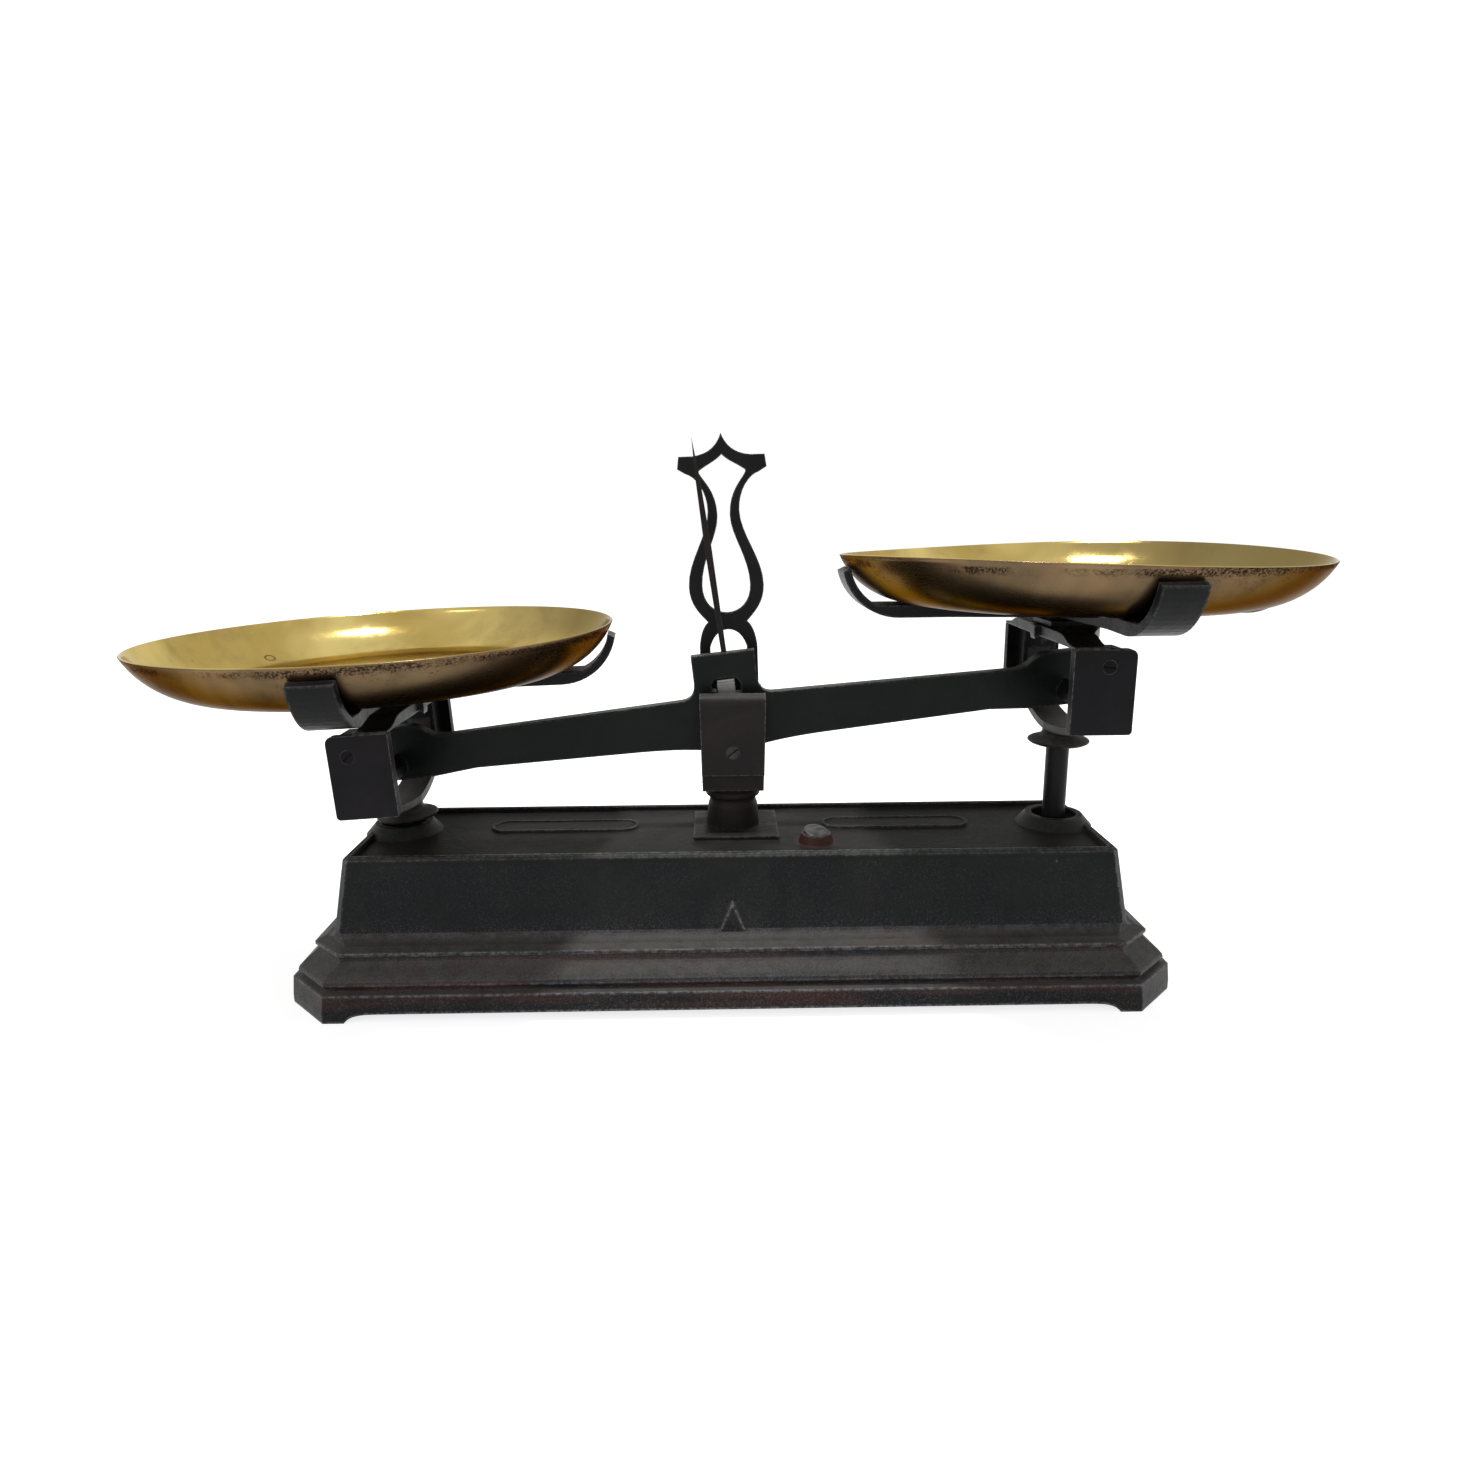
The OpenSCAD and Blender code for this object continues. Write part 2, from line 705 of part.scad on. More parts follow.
// Half outline of the beam, from the top of its block to its underside
knife_slot_rise = 12;
knife_slot_drop = 5;
block_fillet = 9;
shoulder = arm_length - 10.5;
arm_root = block_width / 2 + block_fillet;
function half_beam() = concat(
    [[block_width / 2, block_rise]],
    bezier([block_width / 2, arm_root_height / 2 - arm_drop + block_fillet],
        [block_width / 2 + 0.5, arm_root_height / 2 - arm_drop + 2],
        [block_width / 2 + 3, arm_root_height / 2 - arm_drop],
        [arm_root, arm_root_height / 2 - arm_drop]),
    bezier([shoulder - 15, arm_end_height / 2 - arm_drop - 0.6],
        [shoulder - 5, arm_end_height / 2 - arm_drop],
        [shoulder - 6, end_rise], [shoulder + 3, end_rise]),
    bezier([arm_length + end_reach - 7, end_rise], [arm_length + end_reach - 2, end_rise],
        [arm_length + end_reach, end_rise - 3], [arm_length + end_reach, end_rise - 7], 4),
    bezier([arm_length + end_reach, 7 - end_drop], [arm_length + end_reach, 3 - end_drop],
        [arm_length + end_reach - 2, -end_drop], [arm_length + end_reach - 7, -end_drop], 4),
    [[shoulder - 8, -end_drop], [shoulder - 30, -arm_end_height / 2 - arm_drop - 0.4]],
    bezier([arm_root + 24, -arm_root_height / 2 - arm_drop],
        [arm_root + 10, -arm_root_height / 2 - arm_drop - 0.4],
        [arm_root, -arm_root_height / 2 - arm_drop - 1.2],
        [block_width / 2, -arm_root_height / 2 - arm_drop - root_bulge]));

module centre_knife_outline(height) {
    half = centre_knife_width / 2;
    polygon([[0, 0], [half, half * 1.2], [half, height], [-half, height], [-half, half * 1.2]]);
}

module end_knife_outline() {
    half = end_knife_width / 2;
    polygon([[0, 0], [half, -half * 1.2], [half, -end_knife_height], [-half, -end_knife_height],
        [-half, -half * 1.2]]);
}

module beam_outline() {
    arch = window_width / 2 - centre_knife_width / 2 + 1;
    difference() {
        polygon(concat(half_beam(), flip(half_beam())));
        translate([-centre_knife_width / 2, -knife_slot_drop])
            square([centre_knife_width, knife_slot_drop + knife_slot_rise + past]);
        polygon(concat(
            [[window_width / 2, knife_slot_rise]],
            arc([window_width / 2 - arch, window_rise - arch], arch, 0, 90, 6),
            arc([arch - window_width / 2, window_rise - arch], arch, 90, 180, 6),
            [[-window_width / 2, knife_slot_rise]]));
        for (side = [left, right])
            translate([side * arm_length, 0])
                end_knife_outline();
    }
}

module beam() {
    color(dusty_iron)
        on_beam()
            difference() {
                slab(beam_thickness)
                    beam_outline();
                translate([pointer_place, 0, block_rise])
                    slab(pointer_thickness)
                        square([pointer_width * pointer_foot_share, 2 * pointer_tang], center = true);
            }
}

shank_length = 11;
module centre_knife() {
    color(steel)
        on_beam() {
            slab(centre_knife_length)
                centre_knife_outline(centre_knife_height / 2);
            slab(shank_length)
                centre_knife_outline(centre_knife_height);
        }
}

carrier_inside = plate_spread / 2 - plate_thickness;
end_knife_length = 2 * carrier_inside - 8;
module end_knife(side) {
    color(steel)
        on_beam()
            translate([side * arm_length, 0, 0])
                slab(end_knife_length)
                    end_knife_outline();
}

pointer_tang = 6;
pointer_place = 0.8;
pointer_point = 20;
pointer_foot_share = 0.78;
pointer_top_share = 0.62;
module pointer() {
    half = pointer_width / 2;
    foot = half * pointer_foot_share;
    top = half * pointer_top_share;
    top_start = pointer_length - pointer_point;
    color(iron)
        on_beam()
            translate([pointer_place, 0, block_rise]) {
                slab(pointer_thickness)
                    translate([-foot, -pointer_tang])
                        square([2 * foot, pointer_tang]);
                rotate([0, -pointer_lean, 0])
                    slab(pointer_thickness)
                        polygon([[-foot, 0], [foot, 0], [half, pointer_length / 2], [top, top_start],
                            [0, pointer_length], [-top, top_start], [-half, pointer_length / 2]]);
            }
}

// Everything on a carrier is drawn for the right one, with its end knife edge at the origin
module on_carrier(side) {
    translate([side * end_reach_x, 0, knife_height(side)])
        rotate([0, side * carrier_lean(side), 0])
            mirror([side == left ? 1 : 0, 0, 0])
                children();
}

// The same for a cross and its pan, which turn and lean a little on their bridge
module on_bridge(side) {
    on_carrier(side)
        translate([0, 0, bridge_top])
            rotate([0, pan_lean(side) - carrier_lean(side), cross_turn(side)])
                translate([0, 0, -bridge_top])
                    children();
}

module front_and_rear() {
    for (face = [0, 180])
        rotate([0, 0, face])
            children();
}

// Stirrup: a bow under the beam end, from plate to plate, with the collar below it
bow_foot = plate_rise - plate_height;
bow_set = 2.4;
function bow_curve(drop, sag, end) = let (r = (end * end + sag * sag) / (2 * sag))
    arc([0, r - drop], r, 270 - asin(end / r), 270 + asin(end / r), 16);
collar_gap = 0.3;
collar_foot = knife_height(left) - boss_top - collar_gap - collar_r * sin(left_lean);
bow_room = collar_foot - collar_thickness - bow_thickness - end_drop;
bow_drop = end_drop + bow_thickness + bow_place * bow_room;
bow_sag = bow_drop + bow_foot;
stem_spigot_r = stem_r - 1;

module stirrup(side) {
    inner = bow_curve(bow_drop - bow_thickness, bow_sag + 0.5, carrier_inside);
    outer = bow_curve(bow_drop, bow_sag, carrier_inside);
    top = collar_thickness - collar_foot;
    neck_half = bow_width / 2 - 0.3;
    neck_top = bow_thickness / 2 - bow_drop;
    color(dusty_iron)
        on_carrier(side)
            difference() {
                union() {
                    intersection() {
                        side_slab(plate_width)
                            polygon(concat(outer, [for (i = [len(inner) - 1:-1:0]) inner[i]]));
                        linear_extrude(2 * (plate_height + bow_drop), center = true)
                            polygon([[bow_width / 2, 0], [bow_set + bow_end_width / 2, carrier_inside],
                                [bow_set - bow_end_width / 2, carrier_inside], [-bow_width / 2, 0],
                                [bow_set - bow_end_width / 2, -carrier_inside],
                                [bow_set + bow_end_width / 2, -carrier_inside]]);
                    }
                    rotate_extrude()
                        polygon(concat([[0, -collar_foot]],
                            bezier([collar_r - 5, -collar_foot], [collar_r, -collar_foot + 1.2],
                                [collar_r + 0.6, top - 2.6], [collar_r - 3, top - 1.6]),
                            bezier([collar_r - 4, top - 1.2], [neck_half + 1, top - 0.4],
                                [neck_half - 0.4, top + 0.4], [neck_half, neck_top]),
                            [[0, neck_top]]));
                }
                translate([0, 0, -collar_foot - past])
                    cylinder(collar_thickness, r = stem_spigot_r);
            }
}

// Stem: a rod screwed into the collar, flattened to an eye at its foot
tongue_thickness = 5;
eye_r = 7;
module stem(side) {
    shoulder_height = eye_r + 5 - stay_drop;
    color(iron)
        on_carrier(side)
            difference() {
                union() {
                    translate([0, 0, shoulder_height])
                        cylinder(-collar_foot - shoulder_height, r = stem_r);
                    translate([0, 0, shoulder_height])
                        cylinder(-collar_foot - shoulder_height + collar_thickness - past, r = stem_spigot_r);
                    slab(tongue_thickness)
                        translate([-stem_r, -stay_drop])
                            square([2 * stem_r, shoulder_height + stay_drop]);
                    translate([0, 0, -stay_drop])
                        y_rod(eye_r, tongue_thickness);
                }
                translate([0, 0, -stay_drop])
                    y_rod(end_pin_r + loose_gap, tongue_thickness + 2 * past);
            }
}

// Side plates and the screws that hold them to the bridge
outer_corner_r = 3.6;
lower_corner_r = 2;
inner_corner_r = 0.8;
function plate_screw_place(side) = side == left ? [5.4, plate_rise - 10.4] : [2, plate_rise - 8.4];
function plate_corner(x, z, r, from) = arc([x + (x > 0 ? -r : r), z + (z > plate_middle ? -r : r)], r,
    from, from + 90, 6);
plate_middle = plate_rise - plate_height / 2;
plate_foot = plate_rise - plate_height;
module side_plate(side) {
    difference() {
        translate([0, -carrier_inside - plate_thickness / 2, 0])
            slab(plate_thickness)
                polygon(concat(
                    plate_corner(plate_width / 2, plate_rise, outer_corner_r, 0),
                    plate_corner(-plate_width / 2, plate_rise, inner_corner_r, 90),
                    plate_corner(-plate_width / 2, plate_foot, inner_corner_r, 180),
                    plate_corner(plate_width / 2, plate_foot, lower_corner_r, 270)));
        translate([plate_screw_place(side)[0], -plate_spread / 2, plate_screw_place(side)[1]])
            flush_screw_hole(plate_thickness + past);
    }
}
module front_plate(side) {
    color(iron)
        on_carrier(side)
            side_plate(side);
}
module rear_plate(side) {
    color(iron)
        on_carrier(side)
            mirror([0, 1, 0])
                side_plate(side);
}
module plate_screws(side) {
    color(steel)
        on_carrier(side)
            for (flip_over = [0, 1])
                mirror([0, flip_over, 0])
                    translate([plate_screw_place(side)[0], -plate_spread / 2, plate_screw_place(side)[1]])
                        flush_screw(plate_thickness + ear_depth - past, side == left ? 40 : 10);
}

// Bearings that hang on the end knife
ear_depth = 12;
ear_width = 18;
ear_drop = 3;
carrier_bearing_length = ear_depth - 4;
carrier_bearing_rise = bearing_height - 2;
module carrier_bearings(side) {
    color(steel)
        on_carrier(side)
            front_and_rear()
                translate([0, carrier_inside - ear_depth + carrier_bearing_length / 2, edge_gap])
                    mirror([0, 0, 1])
                        slab(carrier_bearing_length)
                            bearing_outline(bearing_width - 1.6, bearing_height, 2);
}

// Bridge over the beam end, with an ear down inside each plate
bridge_top = plate_rise + bridge_thickness;
bridge_inner = plate_width / 2;
bridge_outer = 1.4;
hub_half = 13;
bridge_ramp = concat([[plate_spread / 2, plate_rise + 1.2]],
    bezier([plate_spread / 2 - 4, plate_rise + 1.2], [plate_spread / 2 - 13, plate_rise + 1.4],
        [plate_spread / 2 - 14, bridge_top], [plate_spread / 2 - 25, bridge_top]));
module bridge_casting(side) {
    pocket_width = bearing_width - 1.6;
    difference() {
        union() {
            intersection() {
                side_slab(3 * plate_width)
                    polygon(concat([[-plate_spread / 2, plate_rise], [plate_spread / 2, plate_rise]],
                        bridge_ramp, flip(bridge_ramp)));
                linear_extrude(2 * plate_height, center = true)
                    polygon([[-bridge_inner, -plate_spread / 2], [bridge_outer, -plate_spread / 2],
                        [bridge_outer, -plate_spread / 2 + 20], [hub_half, -hub_half],
                        [hub_half, hub_half], [bridge_outer, plate_spread / 2 - 20],
                        [bridge_outer, plate_spread / 2], [-bridge_inner, plate_spread / 2]]);
            }
            front_and_rear()
                translate([-ear_width / 2, carrier_inside - ear_depth, -ear_drop])
                    cube([ear_width, ear_depth, plate_rise + ear_drop]);
            translate([0, 0, plate_rise])
                slab(cross_arm_width / 2)
                    polygon([[-bridge_inner, 0], [-bridge_inner - 2, -1.8], [-bridge_inner - 2.5, 1],
                        [-bridge_inner - 2.5, bridge_thickness], [-bridge_inner, bridge_thickness]]);
        }
        front_and_rear()
            translate([-pocket_width / 2, carrier_inside - ear_depth - past, -ear_drop - past])
                cube([pocket_width, carrier_bearing_length + past,
                    ear_drop + past + carrier_bearing_rise + edge_gap]);
        for (flip_over = [0, 1])
            mirror([0, flip_over, 0])
                translate([plate_screw_place(side)[0], -carrier_inside, plate_screw_place(side)[1]])
                    rotate([-90, 0, 0])
                        translate([0, 0, -past])
                            cylinder(ear_depth, r = screw_shank_r);
    }
}

module bridge(side) {
    color(dusty_iron)
        difference() {
            on_carrier(side)
                bridge_casting(side);
            on_bridge(side)
                cross_screw_places()
                    translate([0, 0, plate_rise - past])
                        cylinder(bridge_thickness + 2 * past, r = cross_screw_r);
        }
}

// Cross under the pan: a square hub and four arms that end in upturned fingers
hub_plate = 2.6;
hub_foot = bridge_top + hub_half * sin(abs(left_lean - left_pan_lean)) + 0.05;
cross_screw_r = 1.8;
cross_screw_head_r = 3;
cross_top = pan_rise - seat_gap;
cross_foot = cross_top - cross_arm_thickness;
pan_bend_half = sqrt(pan_bend_r * pan_bend_r - (pan_bend_r - pan_depth) * (pan_bend_r - pan_depth));
bend_centre = [pan_diameter / 2 - pan_bend_half, pan_rise + pan_bend_r];
finger_reach = 9.2;
finger_centre = [bend_centre[0] + finger_reach, cross_foot + finger_bend_r];
finger_inner_r = finger_bend_r - finger_thickness;

module cross_screw_places() {
    place = hub_half - cross_screw_head_r - 0.2;
    translate([place, -place, 0])
        children();
    translate([-place, place, 0])
        children();
}

module cross_arm() {
    top_angle = acos((finger_centre[1] - cross_top) / finger_inner_r);
    start = finger_centre[0] - 2;
    widest = finger_centre[0] + finger_bend_r * sin(finger_angle);
    intersection() {
        rotate([90, 0, 0])
            linear_extrude(2 * finger_width, center = true)
                polygon(concat(
                    [[0, cross_top]],
                    arc(finger_centre, finger_inner_r, 270 + top_angle, 270 + finger_angle + 1),
                    arc(finger_centre, finger_bend_r, 270 + finger_angle - 1, 270),
                    [[hub_half, cross_foot - 1.2], [0, cross_foot - 1.2]]));
        linear_extrude(4 * pan_rise, center = true)
            polygon([[0, cross_arm_width / 2], [start - 24, cross_arm_width / 2],
                [start + 2, finger_width / 2], [widest - 14, finger_width / 2],
                [widest + 1, finger_tip_width / 2], [widest + 1, -finger_tip_width / 2],
                [widest - 14, -finger_width / 2], [start + 2, -finger_width / 2],
                [start - 24, -cross_arm_width / 2], [0, -cross_arm_width / 2]]);
    }
}

module cross(side) {
    color(iron)
        on_bridge(side)
            difference() {
                union() {
                    for (turn = [0:90:270])
                        rotate([0, 0, turn])
                            cross_arm();
                    translate([0, 0, hub_foot])
                        cylinder(cross_top - hub_foot, r = cross_arm_width / 2 + 2);
                    translate([-hub_half, -hub_half, hub_foot])
                        cube([2 * hub_half, 2 * hub_half, hub_plate]);
                }
                cross_screw_places()
                    translate([0, 0, hub_foot - past])
                        cylinder(hub_plate + 2 * past, r = cross_screw_r);
            }
}

module cross_screws(side) {
    color(steel)
        on_bridge(side)
            cross_screw_places() {
                translate([0, 0, plate_rise + past])
                    cylinder(hub_foot + hub_plate - plate_rise, r = cross_screw_r);
                translate([0, 0, hub_foot + hub_plate])
                    cylinder(1.6, cross_screw_head_r, cross_screw_head_r - 0.8);
            }
}

// Pan: a flat floor and a wall bent up to the rim
module pan(side) {
    bend = asin(pan_bend_half / pan_bend_r);
    inner_r = pan_bend_r - pan_sheet;
    color(brass)
        on_bridge(side)
            rotate_extrude($fn = 128)
                polygon(concat(
                    [[0, pan_rise]],
                    arc(bend_centre, pan_bend_r, 270, 270 + bend, 10),
                    arc(bend_centre, inner_r, 270 + bend, 270, 10),
                    [[0, pan_rise + pan_sheet]]));
}

// Stay under the tray, pivoted on a bracket that the column's stud holds
function turned(point) = [point[0] * cos(rest_tilt) + point[1] * sin(rest_tilt),
    point[1] * cos(rest_tilt) - point[0] * sin(rest_tilt)];
function foot_pin(side) = turned([side * (end_reach_x - stay_drop * sin(carrier_lean(side))),
    knife_height(side) - stay_pivot - stay_drop * cos(carrier_lean(side))]);
prong_thickness = 4;
prong_gap = 0.6;
fork_inside = tongue_thickness + 2 * prong_gap;
fork_outside = fork_inside + 2 * prong_thickness;
fork_length = 26;
stay_end_height = 10;
bar_end_height = stay_end_height - 3;
stay_boss_r = 9;
cheek_gap = 0.5;
cheek_thickness = 3;
cheek_width = 20;
stay_boss_length = 16;

module on_stay() {
    translate([0, 0, stay_pivot])
        rotate([0, -rest_tilt, 0])
            children();
}

module stay_lever() {
    color(iron)
        on_stay()
            difference() {
                union() {
                    slab(stay_thickness)
                        polygon([[0, stay_height / 2], foot_pin(left) + [fork_length / 2, bar_end_height / 2],
                            foot_pin(left) + [fork_length / 2, -bar_end_height / 2], [0, -stay_height / 2],
                            foot_pin(right) - [fork_length / 2, bar_end_height / 2],
                            foot_pin(right) + [-fork_length / 2, bar_end_height / 2]]);
                    for (side = [left, right])
                        translate([foot_pin(side)[0], 0, foot_pin(side)[1]]) {
                            y_rod(eye_r, fork_outside);
                            translate([-side * fork_length / 2, 0, 0])
                                cube([fork_length, fork_outside, stay_end_height], center = true);
                        }
                    y_rod(stay_boss_r, stay_boss_length);
                }
                for (side = [left, right])
                    translate([foot_pin(side)[0], 0, foot_pin(side)[1]]) {
                        translate([side * (fork_length / 2 - eye_r - 5), 0, 0])
                            cube([fork_length, fork_inside, 3 * eye_r], center = true);
                        y_rod(end_pin_r, fork_outside + 2 * past);
                    }
                y_rod(stay_pin_r + pin_gap, stay_boss_length + 2 * past);
            }
}

module stay_end_pins() {
    color(steel)
        on_stay()
            for (side = [left, right])
                translate([foot_pin(side)[0], 0, foot_pin(side)[1]])
                    y_rod(end_pin_r, fork_outside + 1);
}

bracket_inside = stay_boss_length + 2 * cheek_gap;
module stay_bracket() {
    outside = bracket_inside + 2 * cheek_thickness;
    color(iron)
        difference() {
            union() {
                translate([-pad_side / 2, -outside / 2, washer_top])
                    cube([pad_side, outside, bracket_plate]);
                translate([0, 0, (stay_pivot + washer_top) / 2])
                    cube([cheek_width, outside, washer_top - stay_pivot], center = true);
                translate([0, 0, stay_pivot])
                    y_rod(cheek_width / 2, outside);
            }
            translate([0, 0, (stay_pivot + washer_top) / 2 - cheek_width / 2])
                cube([cheek_width + 2 * past, bracket_inside, washer_top - stay_pivot + cheek_width],
                    center = true);
            translate([column_place, 0, washer_top - past])
                cylinder(bracket_plate + 2 * past, r = stud_r + seat_gap);
            translate([column_place, 0, washer_top - bracket_inside])
                cylinder(bracket_inside, r = nut_flats / 2 + 3 + seat_gap);
            translate([0, 0, stay_pivot])
                y_rod(stay_pin_r, outside + 2 * past);
        }
}

module stay_pivot_pin() {
    outside = bracket_inside + 2 * cheek_thickness;
    color(steel)
        translate([0, 0, stay_pivot]) {
            y_rod(stay_pin_r, outside + 3);
            translate([0, -outside / 2 - 1, 0])
                y_rod(stay_pin_r + 2, 2);
        }
}

base_casting();
seal_plug();
column();
column_stud();
column_washer();
column_nut();
column_bearings();
front_cover();
cover_screws();
index_frame();
stay_bracket();
stay_pivot_pin();
stay_lever();
stay_end_pins();
beam();
centre_knife();
end_knife(left);  // left_end_knife
end_knife(right);  // right_end_knife
pointer();
stirrup(left);  // left_stirrup
stirrup(right);  // right_stirrup
stem(left);  // left_stem
stem(right);  // right_stem
front_plate(left);  // left_front_plate
front_plate(right);  // right_front_plate
rear_plate(left);  // left_rear_plate
rear_plate(right);  // right_rear_plate
bridge(left);  // left_bridge
bridge(right);  // right_bridge
carrier_bearings(left);  // left_bearings
carrier_bearings(right);  // right_bearings
plate_screws(left);  // left_plate_screws
plate_screws(right);  // right_plate_screws
cross(left);  // left_cross
cross(right);  // right_cross
cross_screws(left);  // left_cross_screws
cross_screws(right);  // right_cross_screws
pan(left);  // left_pan
pan(right);  // right_pan
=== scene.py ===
"""Counter balance with brass pans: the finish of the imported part, its finer pieces, light and camera."""

import json
import math

import bmesh
import bpy
from mathutils import Matrix, Vector, noise


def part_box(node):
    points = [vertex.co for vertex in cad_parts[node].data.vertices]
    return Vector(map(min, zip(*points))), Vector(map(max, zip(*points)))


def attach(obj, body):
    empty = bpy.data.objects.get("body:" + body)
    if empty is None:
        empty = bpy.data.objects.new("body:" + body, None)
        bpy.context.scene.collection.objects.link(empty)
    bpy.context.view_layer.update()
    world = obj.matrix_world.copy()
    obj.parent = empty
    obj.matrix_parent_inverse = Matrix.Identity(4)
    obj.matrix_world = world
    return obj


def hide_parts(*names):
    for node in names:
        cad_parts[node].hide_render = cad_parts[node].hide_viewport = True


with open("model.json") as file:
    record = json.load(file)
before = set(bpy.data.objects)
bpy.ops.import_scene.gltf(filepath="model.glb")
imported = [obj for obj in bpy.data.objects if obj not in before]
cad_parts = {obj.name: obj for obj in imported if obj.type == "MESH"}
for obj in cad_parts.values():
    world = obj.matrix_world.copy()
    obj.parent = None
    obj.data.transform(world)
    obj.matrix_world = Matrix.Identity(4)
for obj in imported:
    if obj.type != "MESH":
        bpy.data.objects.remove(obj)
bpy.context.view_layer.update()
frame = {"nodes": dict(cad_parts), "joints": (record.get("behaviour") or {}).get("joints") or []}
nodes = frame["nodes"]
joints = {j["name"]: j for j in frame["joints"]}
MM = 0.001

# Heights and places on the base, in metres; the cove is the hollow between the plinth and the wall
BAND_TOP = 0.012
COVE_FOOT, COVE_TOP = 0.033, 0.037
TRAY_FLOOR, RIM_TOP = 0.0708, 0.0734
TRAY_HALF_LENGTH = 0.1885
STRIP_HALF_DEPTH = 0.039
SEAL_CUP = (0.044, -0.0265, 0.073)
LUG = (0, -0.0605, 0.04)

# A pan: radius at the rim, radius of the bend, sheet and depth in millimetres
PAN_R, BEND_R, SHEET, PAN_DEPTH = 118.5, 40.5, 1.2, 24.2
RING_MARK = (-0.0848, 0.0535, 0.006)


# Materials


class Value:
    """An output of a material node, so that masks can be written as sums and products."""

    def __init__(self, net, socket):
        self.net, self.socket = net, socket

    def __add__(self, other):
        return self.net.math("ADD", self, other)

    def __sub__(self, other):
        return self.net.math("SUBTRACT", self, other)

    def __mul__(self, other):
        return self.net.math("MULTIPLY", self, other)

    __radd__, __rmul__ = __add__, __mul__

    def __rsub__(self, other):
        return self.net.math("SUBTRACT", other, self)

    def between(self, low, high):
        """0 at low, 1 at high, eased between them; low may be the larger."""
        out = self.net.node("MapRange", {0: self, 1: low, 2: high}, interpolation_type="SMOOTHSTEP")
        return Value(self.net, out.outputs[0])


class Net:
    """One procedural material on the Principled shader."""

    def __init__(self, name):
        self.material = bpy.data.materials.new(name)
        self.material.use_nodes = True
        self.tree = self.material.node_tree
        self.shader = self.tree.nodes["Principled BSDF"]
        self.at = self.node("TexCoord").outputs["Object"]

    def node(self, kind, inputs=None, **settings):
        made = self.tree.nodes.new("ShaderNode" + kind)
        for key, value in settings.items():
            setattr(made, key, value)
        for key, value in (inputs or {}).items():
            self.feed(made.inputs[key], value)
        return made

    def feed(self, socket, value):
        value = getattr(value, "socket", value)
        if isinstance(value, bpy.types.NodeSocket):
            self.tree.links.new(value, socket)
        elif socket.type == "RGBA" and len(value) == 3:
            socket.default_value = (*value, 1)
        else:
            socket.default_value = value

    def math(self, operation, a, b=0.0):
        return Value(self, self.node("Math", {0: a, 1: b}, operation=operation).outputs[0])

    def noise(self, scale, detail=4, rough=0.6, twist=0.0, at=None):
        made = self.node("TexNoise", {"Vector": at or self.at, "Scale": scale, "Detail": detail,
                                      "Roughness": rough, "Distortion": twist})
        return Value(self, made.outputs[0])

    def streaks(self, scale, stretch, turn, offset=0.0):
        """Noise drawn out along one direction."""
        mapped = self.node("Mapping", {"Vector": self.at, "Rotation": turn, "Scale": stretch,
                                       "Location": (offset, offset, offset)})
        return self.noise(scale, 3, 0.55, at=mapped.outputs[0])

    def dots(self, scale, share, size):
        """Small round spots in a share of the cells of a grid."""
        cells = self.node("TexVoronoi", {"Vector": self.at, "Scale": scale})
        pick = self.node("SeparateColor", {0: cells.outputs["Color"]})
        chosen = Value(self, pick.outputs[0]).between(1 - share, 1.02 - share)
        return Value(self, cells.outputs["Distance"]).between(size, size * 0.4) * chosen

    def mix(self, amount, a, b):
        made = self.node("Mix", data_type="RGBA")
        for key, value in ((0, amount), (6, a), (7, b)):
            self.feed(made.inputs[key], value)
        return made.outputs[2]

    def place(self):
        """x, y and z of the surface in its object, in metres."""
        return [Value(self, s) for s in self.node("SeparateXYZ", {0: self.at}).outputs]

    def facing_up(self):
        normal = self.node("NewGeometry").outputs["Normal"]
        return Value(self, self.node("SeparateXYZ", {0: normal}).outputs[2])

    def near(self, point, reach, fade):
        """1 near a point, 0 past its reach."""
        gap = self.node("VectorMath", {0: self.at, 1: point}, operation="DISTANCE")
        return Value(self, gap.outputs[1]).between(reach, reach - fade)

    def edges(self, width):
        """1 along outward edges."""
        made = self.node("AmbientOcclusion", {"Distance": width}, inside=True, only_local=True, samples=6)
        return (1 - Value(self, made.outputs["AO"])).between(0.05, 0.32)

    def corners(self, width):
        """1 deep in inward corners."""
        made = self.node("AmbientOcclusion", {"Distance": width}, samples=6)
        return (1 - Value(self, made.outputs["AO"])).between(0.25, 0.8)

    def finish(self, colour, rough, heights, round_edge=0.0, **constants):
        """Colour, roughness, bumps as (height, depth in metres), and the shader's own values by name."""
        self.feed(self.shader.inputs["Base Color"], colour)
        self.feed(self.shader.inputs["Roughness"], rough)
        normal = None
        if round_edge:
            normal = self.node("Bevel", {"Radius": round_edge}, samples=6).outputs[0]
        for height, depth in heights:
            inputs = {"Height": height, "Distance": depth, "Strength": 1.0}
            if normal:
                inputs["Normal"] = normal
            normal = self.node("Bump", inputs).outputs[0]
        self.feed(self.shader.inputs["Normal"], normal)
        for key, value in constants.items():
            self.feed(self.shader.inputs[key.replace("_", " ")], value)
        return self.material


